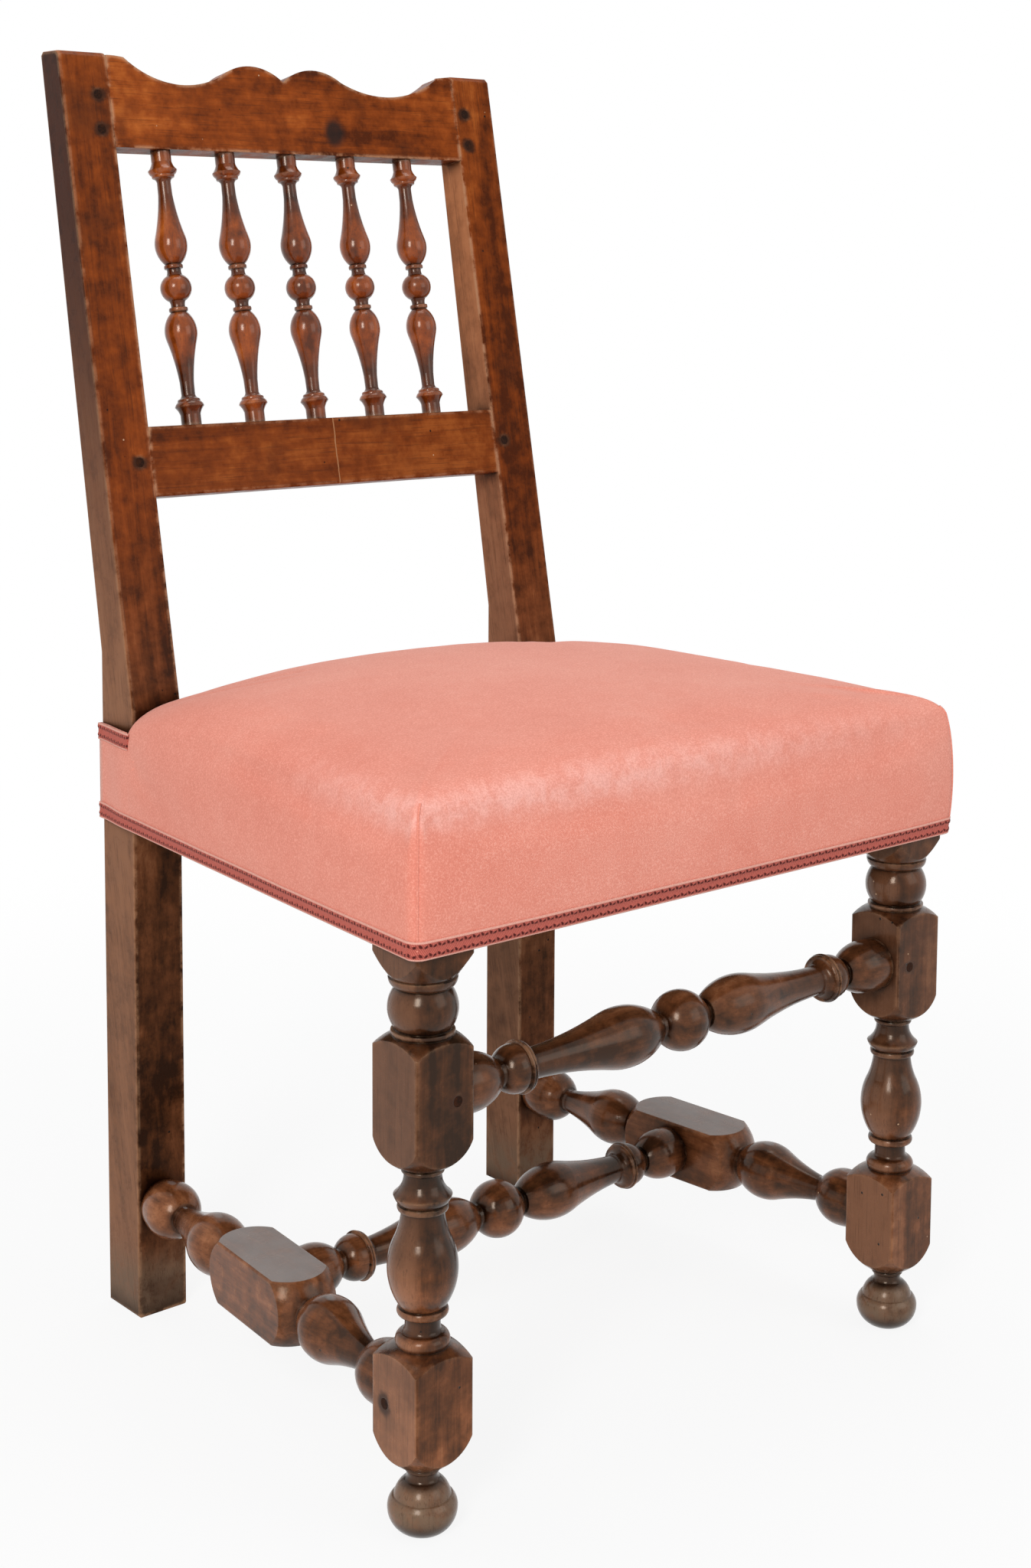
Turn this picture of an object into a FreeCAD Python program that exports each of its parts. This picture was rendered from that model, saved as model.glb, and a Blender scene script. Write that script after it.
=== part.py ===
"""Turned walnut dining chair with an upholstered seat, each piece of it as its own solid.

Millimetres. +Z is up, the chair faces -Y, and the origin is on the floor under the middle of its box.
"""
import FreeCAD, Part
import math
import operator
import os
import Sketcher

# Driving sizes: lengths in millimetres, angles in degrees
FRAME = {
    "leg_spacing": 468, "leg_side": 48, "leg_to_post": 383,
    "back_width": 438, "post_width": 43, "post_foot_depth": 46.5, "post_top_depth": 27,
    "post_height": 1000, "knee_height": 489, "back_knee_height": 530, "rake": 11.2,
    "post_top_chamfer": 3, "arris_radius": 1.8,
}
# The back's rails are placed by their drop from the posts' tops, the crest's wave by its drop from its ends
BACK = {
    "rail_thickness": 21, "crest_drop": 1.4, "crest_height": 74.5, "crest_dip": 20.5, "crest_peak_drop": 1.5,
    "crest_cusp_drop": 13.5, "crest_flank_drop": 10.5, "crest_ear": 16, "crest_ear_drop": 1,
    "crest_ear_bulge": 0.4, "crest_wave": 60, "crest_shift": -7,
    "lower_rail_drop": 299.9, "lower_rail_height": 56,
    "spindle_pitch": 61.5, "spindle_shift": -6, "spindle_tenon_radius": 5.5, "spindle_tenon_length": 14,
    "back_tenon_thickness": 9, "back_tenon_length": 26, "back_tenon_shoulder": 8,
}
SEAT = {
    "seat_rail_bottom": 397, "seat_rail_height": 50, "seat_rail_thickness": 26,
    "seat_tenon_thickness": 10, "seat_tenon_length": 20, "seat_tenon_shoulder": 7,
    "webbing_width": 50, "webbing_thickness": 2, "hessian_thickness": 1, "webbing_land": 16,
    "cover_stand": 5, "cover_thickness": 2.5, "cover_side_bulge": 3.5, "hem_lift": 1,
    "padding_height": 43, "shoulder_rise": 15, "shoulder_inset": 15, "shoulder_knee": 4.5,
    "shoulder_turn": 10.2, "seat_crown": 15, "seat_end_round": 13, "post_wrap_rise": 27,
    "braid_height": 13, "braid_thickness": 1.8,
}
JOINERY = {
    "stretcher_rise": 20, "front_stretcher_rise": 21.5, "stretcher_tenon_radius": 9.5,
    "stretcher_tenon_length": 22, "medial_tenon_radius": 8.5, "medial_tenon_length": 18,
    "peg_radius": 3.6, "leg_peg_length": 36, "leg_peg_inset": 14, "back_peg_inset": 11,
    "crest_peg_low": 14, "crest_peg_rise": 28,
    "joint_clearance": 0.1, "seat_clearance": 0.3, "turning_margin": 3, "corner_clearance": 0.5,
    "block_lead": 2,
}
# Turnings: name, rise from the station before, radius there, bulge of the line that arrives there.
# One rise in each piece takes up the spare length, and a radius of STOCK leaves the square uncut.
SPARE = None
STOCK = None
FRONT_LEG = (
    ("sole", 0, 13.5, 0), ("bun_middle", 15.8, 23.6, 2.7), ("bun", 8, 20.5, 0.9), ("bun_groove", 0.6, 19.3, 0),
    ("instep", 10.5, 12.5, 1.2), ("ankle_cove", 3.2, 10.3, -0.5), ("ankle", 3, 10.5, 0),
    ("ankle_ring", 3.5, 11.5, 1.2), ("low_block", 25.4, STOCK, 4), ("low_block_top", 48, STOCK, 0),
    ("low_shoulder", 10, 17.2, 1), ("torus", 9, 15, 2.2), ("low_cove", 3.5, 12, -0.8),
    ("low_neck", 8.5, 11.8, 0), ("low_fillet", 0.5, 16.5, 0), ("fillet_top", 4.5, 16.5, 0.8),
    ("vase_foot", 0.5, 15, 0), ("vase", SPARE, 18.6, 6.8), ("vase_neck", 18, 14.4, -0.8),
    ("bead_fillet", 0.5, 16.5, 0), ("bead_fillet_top", 3.5, 16.8, 0.5), ("bead_groove", 0.5, 15.6, 0),
    ("bead_edge", 6, 19.6, 0.6), ("bead", 8, 13.6, -0.7), ("high_neck", 7, 12.8, -0.4),
    ("high_ring", 4, 13, 1.6), ("block", 26, STOCK, 5.5), ("block_top", 54, STOCK, 0),
    ("shoulder", 9, 20.3, 0.8), ("collar", 3.5, 21.2, 0.6), ("collar_top", 0.5, 18.5, 0),
    ("ball", 28, 18.5, 5), ("ring_foot", 0.5, 20, 0), ("ring", 6, 23, 0.8), ("ring_top", 0.5, 22, 0),
    ("seat_block", 17.5, STOCK, 0),
)
FRONT_STRETCHER = (
    ("ball_middle", 0, 22, 0), ("ball_end", 20, 9, 3.5), ("ball_neck", 4, 8.5, 0), ("vase_lip", 0.5, 11, 0),
    ("belly", 46, 20.2, 5.2), ("taper", SPARE, 10.8, -2), ("flare", 6.5, 16.8, -2),
    ("lip", 2.2, 17.8, 0.3), ("lip_groove", 0.5, 16.6, 0), ("dome_lip", 0.6, 18.2, 0),
    ("dome_edge", 1.6, 18.2, 0.3), ("dome_foot", 0.4, 16.6, 0), ("dome", 16, 9.5, 2.9),
    ("dome_neck", 3.3, 9, 0), ("bulb_lip", 0.5, 11, 0), ("bulb", 25, 20.3, 2.4), ("end", 11.5, 19.8, 0.13),
)
MEDIAL_STRETCHER = (
    ("ball_middle", 0, 22.5, 0), ("ball_end", 20, 9, 3.7), ("ball_neck", 4, 8.5, 0),
    ("vase_lip", 0.5, 11, 0), ("belly", 44, 20.8, 5.2), ("taper", SPARE, 11, -1.6), ("flare", 6.5, 17.2, -2),
    ("lip", 2.2, 18.2, 0.3), ("lip_groove", 0.5, 17, 0), ("dome_lip", 0.6, 18.8, 0),
    ("dome_edge", 1.6, 18.8, 0.3), ("dome_foot", 0.4, 17.2, 0), ("dome", 16, 9.5, 2.9),
    ("dome_neck", 3, 9, 0), ("bulb_lip", 0.5, 11, 0), ("bulb", 22, 20.5, 2.5), ("end", 14.7, 18.5, 0.5),
)
SIDE_STRETCHER = (
    ("block_middle", 0, STOCK, 0), ("block_end", 37, STOCK, 0), ("block_round", 22, 14.5, 2.8),
    ("ring_groove", 1.5, 12.5, 0), ("vase_lip", 1.5, 14.5, 0), ("belly", 36, 20.5, 5.2),
    ("taper", SPARE, 10, -1.2), ("neck", 4, 10, 0), ("bulb_lip", 0.5, 12, 0), ("bulb", 20, 22.4, 2.75),
    ("end", 21.8, 17, 1.35),
)
SPINDLE = (
    ("ball_middle", 0, 12.7, 0), ("ball_end", 10.5, 6.5, 1.67), ("ball_neck", 5, 5.8, -0.4),
    ("fillet", 0.5, 7.4, 0), ("fillet_end", 3, 7.4, 0.3), ("vase_lip", 0.5, 6.4, 0),
    ("belly", 22, 12.4, 3.1), ("taper", SPARE, 5.8, -0.9), ("neck", 10, 5.6, 0),
    ("ring_cove", 3.5, 7.6, -0.5), ("ring_step", 0.5, 8.8, 0), ("ring_fillet", 2, 9.2, 0.2),
    ("ring_edge", 4, 11.8, 0.5), ("ring", 6.5, 8.2, -0.5), ("end", 9, 8.2, 0),
)
TURNED = {"leg": FRONT_LEG, "front_stretcher": FRONT_STRETCHER, "medial": MEDIAL_STRETCHER,
          "side": SIDE_STRETCHER, "spindle": SPINDLE}
SPINDLE_COUNT = 5
STRAP_COUNT = 4
ABOUT_X = FreeCAD.Vector(1, 0, 0)
ABOUT_Y = FreeCAD.Vector(0, 1, 0)
ABOUT_Z = FreeCAD.Vector(0, 0, 1)
MOSTLY = 0.9
OPERATIONS = {"+": operator.add, "-": operator.sub, "*": operator.mul, "/": operator.truediv}


class Size:
    """A number together with the sheet expression that gives it."""

    def __init__(self, number, text):
        self.number = float(number)
        self.text = text

    def __add__(self, other):
        return combine(self, "+", other)

    def __sub__(self, other):
        return combine(self, "-", other)

    def __mul__(self, other):
        return combine(self, "*", other)

    def __truediv__(self, other):
        return combine(self, "/", other)

    def tangent(self):
        return Size(math.tan(math.radians(self.number)), f"tan({self.text})")


def as_size(value):
    return value if isinstance(value, Size) else Size(value, repr(float(value)))


def combine(left, sign, right):
    left = as_size(left)
    right = as_size(right)
    number = OPERATIONS[sign](left.number, right.number)
    return Size(number, f"({left.text} {sign} {right.text})")


def half(size):
    return size / 2


ZERO = as_size(0)

doc = FreeCAD.newDocument("TurnedChair")
sheet = doc.addObject("Spreadsheet::Sheet", "Sizes")


def fill_sheet():
    """Write every driving size to the sheet and return the sizes by alias."""
    values = {**FRAME, **BACK, **SEAT, **JOINERY}
    for piece, stations in TURNED.items():
        for name, *numbers in stations:
            for word, number in zip(("rise", "radius", "bulge"), numbers):
                if number:
                    values[f"{piece}_{name}_{word}"] = number
    for row, (alias, value) in enumerate(values.items(), start=1):
        sheet.set(f"A{row}", str(value))
        sheet.setAlias(f"A{row}", alias)
    doc.recompute()
    return {alias: Size(sheet.get(alias), f"Sizes.{alias}") for alias in values}


S = fill_sheet()


def bind(feature, name, size):
    feature.setExpression(name, as_size(size).text)


def place(x=0, y=0, z=0, axis=ABOUT_Z, degrees=0):
    return FreeCAD.Placement(FreeCAD.Vector(x, y, z), FreeCAD.Rotation(axis, degrees))


def new_body(name):
    return doc.addObject("PartDesign::Body", name)


def new_sketch(body, name, role):
    """A sketch on one of its body's own origin planes."""
    sketch = body.newObject("Sketcher::SketchObject", name)
    plane = next(item for item in body.Origin.OriginFeatures if item.Role == role)
    sketch.AttachmentSupport = [(plane, "")]
    sketch.MapMode = "FlatFace"
    return sketch


def bulged(start, end, bulge):
    """The point at the top of an arc that stands to the right of the line from start to end."""
    along = end - start
    normal = FreeCAD.Vector(along.y, -along.x, 0).normalize()
    return (start + end) * 0.5 + normal * bulge


def draw(sketch, corners):
    """Draw a closed outline and hold every corner and arc by the sheet.

    A corner is (across, up, bulge), where bulge shapes the edge that arrives at it.
    """
    corners = [tuple(as_size(value) for value in corner) for corner in corners]
    points = [FreeCAD.Vector(x.number, y.number, 0) for x, y, bulge in corners]
    ends = []
    for index, (x, y, bulge) in enumerate(corners):
        start = points[index - 1]
        end = points[index]
        if bulge.number == 0:
            sketch.addGeometry(Part.LineSegment(start, end))
            ends.append((1, 2))
        else:
            top = bulged(start, end, bulge.number)
            turns_left = bulge.number > 0
            arc = Part.Arc(start, top, end) if turns_left else Part.Arc(end, top, start)
            sketch.addGeometry(arc)
            ends.append((1, 2) if turns_left else (2, 1))
    for index, (x, y, bulge) in enumerate(corners):
        after = (index + 1) % len(corners)
        finish = ends[index][1]
        sketch.addConstraint(Sketcher.Constraint("Coincident", index, finish, after, ends[after][0]))
        for kind, size in (("DistanceX", x), ("DistanceY", y)):
            held = sketch.addConstraint(Sketcher.Constraint(kind, -1, 1, index, finish, size.number))
            sketch.setExpression(f"Constraints[{held}]", size.text)
        if bulge.number != 0:
            before = corners[index - 1]
            run = x - before[0]
            rise = y - before[1]
            depth = bulge if bulge.number > 0 else as_size(0) - bulge
            radius = ((run * run + rise * rise) / 4 + depth * depth) / (depth * 2)
            held = sketch.addConstraint(Sketcher.Constraint("Radius", index, radius.number))
            sketch.setExpression(f"Constraints[{held}]", radius.text)


def rectangle(left, right, low, high):
    return [(left, low, 0), (right, low, 0), (right, high, 0), (left, high, 0)]


def pad(body, sketch, length, towards_back=False):
    feature = body.newObject("PartDesign::Pad", body.Name + "Pad")
    feature.Profile = sketch
    bind(feature, "Length", length)
    feature.Reversed = towards_back
    return feature


def turn(body, sketch, kind):
    """Spin a profile about the body's Z axis: a Revolution adds it, a Groove cuts it."""
    feature = body.newObject(f"PartDesign::{kind}", body.Name + kind)
    feature.Profile = sketch
    feature.ReferenceAxis = (sketch, ["V_Axis"])
    feature.Angle = 360
    return feature


def ease(body, feature, chosen):
    """Round the arrises of a body's last feature that a test picks."""
    doc.recompute()
    names = [f"Edge{number}" for number, edge in enumerate(feature.Shape.Edges, start=1) if chosen(edge)]
    fillet = body.newObject("PartDesign::Fillet", body.Name + "Arris")
    fillet.Base = (feature, names)
    bind(fillet, "Radius", S["arris_radius"])


def runs_along(axis):
    """A test for edges that run along an axis."""
    return lambda edge: abs(edge.tangentAt(edge.FirstParameter).dot(axis)) > MOSTLY


def block_radius():
    """A radius just outside the corner of the square stock, where the tool cuts nothing."""
    return S["leg_side"] * math.sqrt(0.5) + S["corner_clearance"]


def stations_of(piece, length):
    """The turned stations of a piece as (height, radius, bulge), from its first station to its length."""
    rises = [S.get(f"{piece}_{name}_rise", ZERO) for name, *numbers in TURNED[piece]]
    spare = length
    for rise in rises:
        spare = spare - rise
    height = ZERO
    found = []
    for rise, (name, given_rise, given_radius, given_bulge) in zip(rises, TURNED[piece]):
        height = height + (spare if given_rise is SPARE else rise)
        radius = block_radius() if given_radius is STOCK else S[f"{piece}_{name}_radius"]
        found.append((height, radius, S.get(f"{piece}_{name}_bulge", ZERO)))
    return found


def mirrored(piece, reach):
    """Stations on both sides of a piece's middle, from one end to the other, with 0 at the low end."""
    outward = stations_of(piece, reach)
    arriving = [bulge for height, radius, bulge in outward[1:]] + [ZERO]
    lower = [(reach - height, radius, bulge) for (height, radius, past), bulge in zip(outward, arriving)]
    upper = [(reach + height, radius, bulge) for height, radius, bulge in outward[1:]]
    return lower[::-1] + upper


def waste(stations, top):
    """The outline that the turning tool cuts away from square stock, up to a given height."""
    outside = block_radius() + S["turning_margin"]
    outline = [(outside, stations[0][0], 0)]
    outline += [(radius, height, bulge) for height, radius, bulge in stations]
    outline += [(block_radius(), top, 0)] if top.number > stations[-1][0].number else []
    return outline + [(outside, top, 0)]


def spun(stations):
    """The closed half outline of a piece that is round all along."""
    first_height, first_radius, first_bulge = stations[0]
    outline = [(0, first_height, 0), (first_radius, first_height, 0)]
    outline += [(radius, height, bulge) for height, radius, bulge in stations[1:]]
    return outline + [(0, stations[-1][0], 0)]


def box(name, length, width, height, placement):
    feature = doc.addObject("Part::Box", name)
    bind(feature, "Length", length)
    bind(feature, "Width", width)
    bind(feature, "Height", height)
    feature.Placement = placement
    return feature


def cylinder(name, radius, length, placement):
    feature = doc.addObject("Part::Cylinder", name)
    bind(feature, "Radius", radius)
    bind(feature, "Height", length)
    feature.Placement = placement
    return feature


def joined(name, features):
    feature = doc.addObject("Part::MultiFuse", name)
    feature.Shapes = features
    feature.Refine = True
    return feature


def carved(name, base, tools):
    feature = doc.addObject("Part::Cut", name)
    feature.Base = base
    feature.Tool = tools[0] if len(tools) == 1 else joined(name + "Waste", tools)
    return feature


def grouped(name, features):
    feature = doc.addObject("Part::Compound", name)
    feature.Links = features
    return feature


NODES = []


def node(feature, label):
    """Keep a finished piece under its own name."""
    feature.Label = label
    NODES.append(feature)
    return feature


# Places that several pieces share
GAP = S["joint_clearance"]
LEG_X = half(S["leg_spacing"])
LEG_HALF = half(S["leg_side"])
POST_OUT = half(S["back_width"])
POST_IN = POST_OUT - S["post_width"]
RAKE_RUN = (S["post_height"] - S["knee_height"]) * S["rake"].tangent()
FRONT_REACH = LEG_HALF + S["cover_stand"] + S["seat_clearance"] + S["braid_thickness"]
REAR_REACH = S["leg_to_post"] + RAKE_RUN + S["post_top_depth"]
LEG_Y = (FRONT_REACH - REAR_REACH) / 2
POST_Y = LEG_Y + S["leg_to_post"]
RAIL_TOP = S["seat_rail_bottom"] + S["seat_rail_height"]
LEG_STATIONS = stations_of("leg", S["seat_rail_bottom"] - S["block_lead"])
LEG_HEIGHTS = {name: height for (name, *numbers), (height, *rest) in zip(FRONT_LEG, LEG_STATIONS)}
STRETCHER_Z = (LEG_HEIGHTS["low_block"] + S["stretcher_rise"]).number
FRONT_STRETCHER_Z = (LEG_HEIGHTS["block"] + S["front_stretcher_rise"]).number
CREST_TOP = ZERO - S["crest_drop"]
CREST_BOTTOM = CREST_TOP - S["crest_height"]
LOWER_RAIL_TOP = ZERO - S["lower_rail_drop"]
LOWER_RAIL_BOTTOM = LOWER_RAIL_TOP - S["lower_rail_height"]
SIDES = {"left": -1, "right": 1}
BACK_FRAME = place(0, (POST_Y + RAKE_RUN).number, S["post_height"].number, ABOUT_X, -S["rake"].number)


def in_back(x, y, z, axis=ABOUT_Z, degrees=0):
    """A place in the leaning back: x across, y behind its front, z up along it from the posts' tops."""
    return BACK_FRAME.multiply(place(x, y, z, axis, degrees))


def centred(name, width, depth, height, x, y, z, frame=None):
    """A box by its middle in plan and its lowest height."""
    spot = place(x - width.number / 2, y - depth.number / 2, z)
    return box(name, width, depth, height, frame.multiply(spot) if frame else spot)


# Front legs: square stock turned between its blocks
def turned_leg(name):
    body = new_body(name)
    square = new_sketch(body, name + "Square", "XY_Plane")
    draw(square, rectangle(ZERO - LEG_HALF, LEG_HALF, ZERO - LEG_HALF, LEG_HALF))
    ease(body, pad(body, square, RAIL_TOP), runs_along(ABOUT_Z))
    profile = new_sketch(body, name + "Profile", "XZ_Plane")
    draw(profile, waste(LEG_STATIONS, RAIL_TOP))
    turn(body, profile, "Groove")
    return body


def stretcher_line(side):
    """Where a side stretcher's axis starts in the leg, and its turn about Z away from the +Y direction."""
    start = FreeCAD.Vector(side * LEG_X.number, LEG_Y.number, STRETCHER_Z)
    post_middle = POST_OUT.number - S["post_width"].number / 2
    end = FreeCAD.Vector(side * post_middle, POST_Y.number, STRETCHER_Z)
    turned = math.degrees(math.atan2(-(end.x - start.x), end.y - start.y))
    return start, end, turned


def along_stretcher(side, distance, axis=ABOUT_X, degrees=-90):
    """A place on a side stretcher's axis, with its local Z along the stretcher towards the post."""
    start, end, turned = stretcher_line(side)
    line = FreeCAD.Placement(start, FreeCAD.Rotation(ABOUT_Z, turned))
    return line.multiply(place(0, distance, 0, axis, degrees))


def side_shoulders(side):
    """Distances along a side stretcher's axis to the leg's back face and the post's front face."""
    start, end, turned = stretcher_line(side)
    slope = math.cos(math.radians(turned))
    return LEG_HALF.number / slope, (end - start).Length


def seat_tenon_height():
    return S["seat_rail_height"] - S["seat_tenon_shoulder"] * 2


def seat_tenon_low():
    return (S["seat_rail_bottom"] + S["seat_tenon_shoulder"]).number


def front_rail_y():
    return (LEG_Y - LEG_HALF + half(S["seat_rail_thickness"])).number


def rear_rail_y():
    return (POST_Y + S["post_foot_depth"] - S["cover_thickness"] - S["seat_clearance"]
            - half(S["seat_rail_thickness"])).number


def side_rail_x(at_leg):
    outer = LEG_X + LEG_HALF if at_leg else POST_OUT
    return (outer - half(S["seat_rail_thickness"])).number


def seat_tenons(name, side, slack):
    """The four tenons at one side's leg and post, as boxes with some slack."""
    length = S["seat_tenon_length"] + slack
    thick = S["seat_tenon_thickness"] + slack * 2
    tall = seat_tenon_height() + slack * 2
    low = seat_tenon_low() - slack.number
    mid = length.number / 2
    leg_in = LEG_X.number - LEG_HALF.number
    leg_back = LEG_Y.number + LEG_HALF.number
    return {
        "front": centred(name + "Front", length, thick, tall, side * (leg_in + mid), front_rail_y(), low),
        "leg": centred(name + "Leg", thick, length, tall, side * side_rail_x(True), leg_back - mid, low),
        "post": centred(name + "Post", thick, length, tall, side * side_rail_x(False), POST_Y.number + mid,
                        low),
        "rear": centred(name + "Rear", length, thick, tall, side * (POST_IN.number + mid), rear_rail_y(),
                        low),
    }


def stretcher_tenon(name, side, at_leg, slack):
    """A side stretcher's round tenon, from just inside its shoulder into the leg or post."""
    near, far = side_shoulders(side)
    overlap = S["stretcher_tenon_radius"].number
    radius = S["stretcher_tenon_radius"] + slack
    length = S["stretcher_tenon_length"] + slack + S["stretcher_tenon_radius"]
    start = near + overlap - length.number if at_leg else far - overlap
    return cylinder(name, radius, length, along_stretcher(side, start))


def front_tenon(name, side, slack):
    radius = S["stretcher_tenon_radius"] + slack
    length = S["stretcher_tenon_length"] + slack
    shoulder = LEG_X.number - LEG_HALF.number
    spot = place(side * shoulder, LEG_Y.number, FRONT_STRETCHER_Z, ABOUT_Y, side * 90)
    return cylinder(name, radius, length, spot)


def leg_pegs(name, side, slack):
    """Pegs that pin the front stretcher (driven from the front) and the side stretcher (from outside)."""
    shoulder = LEG_X.number - LEG_HALF.number
    inset = S["leg_peg_inset"].number
    front = place(side * (shoulder + inset), (LEG_Y - LEG_HALF).number, FRONT_STRETCHER_Z,
                  ABOUT_X, -90)
    outside = place(side * (LEG_X + LEG_HALF).number, (LEG_Y + LEG_HALF).number - inset,
                    STRETCHER_Z, ABOUT_Y, -side * 90)
    radius = S["peg_radius"] + slack
    return [cylinder(name + "Front", radius, S["leg_peg_length"], front),
            cylinder(name + "Outside", radius, S["leg_peg_length"], outside)]


TENONS = {side: seat_tenons("Tenon" + side.title(), sign, ZERO) for side, sign in SIDES.items()}
for side, sign in SIDES.items():
    title = side.title()
    leg = turned_leg("Leg" + title)
    leg.Placement = place(sign * LEG_X.number, LEG_Y.number, 0)
    mortises = seat_tenons("LegMortise" + title, sign, GAP)
    tools = [mortises["front"], mortises["leg"]]
    tools.append(stretcher_tenon("LegHole" + title, sign, True, GAP))
    tools.append(front_tenon("FrontHole" + title, sign, GAP))
    tools += leg_pegs("LegPegHole" + title, sign, GAP)
    node(carved("FrontLeg" + title, leg, tools), "front_leg_" + side)


# Rear posts: sawn with a knee above the seat, thinner towards the top
def back_tenon(name, side, low, tall, slack):
    """A rail's tenon into a post, in the leaning back."""
    length = S["back_tenon_length"] + slack
    thick = S["back_tenon_thickness"] + slack * 2
    height = tall - S["back_tenon_shoulder"] * 2 + slack * 2
    x = side * (POST_IN.number + length.number / 2)
    bottom = (low + S["back_tenon_shoulder"] - slack).number
    return centred(name, length, thick, height, x, S["rail_thickness"].number / 2, bottom, BACK_FRAME)


def back_peg_heights():
    crest = CREST_BOTTOM + S["crest_peg_low"]
    return [crest.number, (crest + S["crest_peg_rise"]).number]


def lower_peg_height():
    return (LOWER_RAIL_BOTTOM + half(S["lower_rail_height"])).number


def back_peg(name, side, height, slack):
    spot = in_back(side * (POST_IN + S["back_peg_inset"]).number, 0, height, ABOUT_X, -90)
    return cylinder(name, S["peg_radius"] + slack, S["rail_thickness"], spot)


def post_arris(edge, outer):
    """Whether a post's edge is worn round: those of its outer side and its back, but not its sole."""
    if runs_along(ABOUT_X)(edge):
        return False
    middle = edge.valueAt((edge.FirstParameter + edge.LastParameter) / 2)
    if middle.z == 0:
        return False
    lean = max(0, middle.z - S["knee_height"].number) * S["rake"].tangent().number
    behind = middle.y - lean > S["post_top_depth"].number / 2
    return behind or abs(middle.x - outer) < S["arris_radius"].number


def post_blank(name, outer):
    """A post's blank, with its outer side at a given distance along its own width."""
    body = new_body(name)
    outline = new_sketch(body, name + "Outline", "YZ_Plane")
    top_back = RAKE_RUN + S["post_top_depth"]
    edge = S["post_top_chamfer"]
    draw(outline, [
        (0, 0, 0), (S["post_foot_depth"], 0, 0), (S["post_foot_depth"], S["back_knee_height"], 0),
        (top_back, S["post_height"] - edge, 0), (top_back - edge, S["post_height"], 0),
        (RAKE_RUN + edge, S["post_height"], 0),
        (RAKE_RUN - edge * S["rake"].tangent(), S["post_height"] - edge, 0), (0, S["knee_height"], 0),
    ])
    ease(body, pad(body, outline, S["post_width"]), lambda edge: post_arris(edge, outer))
    return body


for side, sign in SIDES.items():
    title = side.title()
    post = post_blank("Post" + title, S["post_width"].number if sign > 0 else 0)
    low_side = POST_IN if sign > 0 else ZERO - POST_OUT
    post.Placement = place(low_side.number, POST_Y.number, 0)
    mortises = seat_tenons("PostMortise" + title, sign, GAP)
    tools = [mortises["post"], mortises["rear"], stretcher_tenon("PostHole" + title, sign, False, GAP)]
    tools.append(back_tenon("CrestMortise" + title, sign, CREST_BOTTOM, S["crest_height"], GAP))
    tools.append(back_tenon("RailMortise" + title, sign, LOWER_RAIL_BOTTOM, S["lower_rail_height"], GAP))
    for number, height in enumerate(back_peg_heights() + [lower_peg_height()], start=1):
        tools.append(back_peg(f"PostPegHole{title}{number}", sign, height, GAP))
    node(carved("RearPost" + title, post, tools), "rear_post_" + side)


# Back: crest rail, lower rail and spindles, all in the leaning frame of the posts
def spindle_x(number):
    middle = (SPINDLE_COUNT - 1) / 2
    return S["spindle_shift"].number + (number - middle) * S["spindle_pitch"].number


def spindle_sockets(name, start, upward):
    """Round sockets for the spindles, in a rail's underside or top."""
    radius = S["spindle_tenon_radius"] + GAP
    depth = S["spindle_tenon_length"] + GAP
    low = start.number if upward else start.number - depth.number
    return [cylinder(f"{name}{number}", radius, depth,
                     in_back(spindle_x(number), S["rail_thickness"].number / 2, low))
            for number in range(SPINDLE_COUNT)]


def back_peg_holes(name, heights):
    return [back_peg(f"{name}{side}{number}", sign, height, GAP)
            for side, sign in SIDES.items() for number, height in enumerate(heights)]


def crest_outline():
    """The crest seen from the front, clockwise from its lower left corner."""
    left = ZERO - POST_IN
    right = POST_IN
    cusp_x = S["crest_shift"]
    wave = S["crest_wave"]
    cusp = CREST_TOP - S["crest_cusp_drop"]
    flank = CREST_TOP - S["crest_flank_drop"]
    ear = S["crest_ear"]
    ear_top = CREST_TOP - S["crest_ear_drop"]
    ear_bulge = S["crest_ear_bulge"]
    dip = (flank + ear_top) / 2 - CREST_TOP + S["crest_dip"]
    crown = CREST_TOP - S["crest_peak_drop"] - (flank + cusp) / 2
    return [
        (left, CREST_BOTTOM, 0), (right, CREST_BOTTOM, 0), (right, CREST_TOP, 0),
        (right - ear, ear_top, ear_bulge), (cusp_x + wave, flank, ZERO - dip), (cusp_x, cusp, crown),
        (cusp_x - wave, flank, crown), (left + ear, ear_top, ZERO - dip), (left, CREST_TOP, ear_bulge),
    ]


crest = new_body("Crest")
crest_sketch = new_sketch(crest, "CrestOutline", "XZ_Plane")
draw(crest_sketch, crest_outline())
pad(crest, crest_sketch, S["rail_thickness"], towards_back=True)
crest.Placement = BACK_FRAME
crest_parts = [crest]
for side, sign in SIDES.items():
    crest_parts.append(back_tenon("CrestTenon" + side, sign, CREST_BOTTOM, S["crest_height"], ZERO))
crest_holes = spindle_sockets("CrestSocket", CREST_BOTTOM, True)
crest_holes += back_peg_holes("CrestPegHole", back_peg_heights())
node(carved("CrestRail", joined("CrestWithTenons", crest_parts), crest_holes), "crest_rail")

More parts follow.
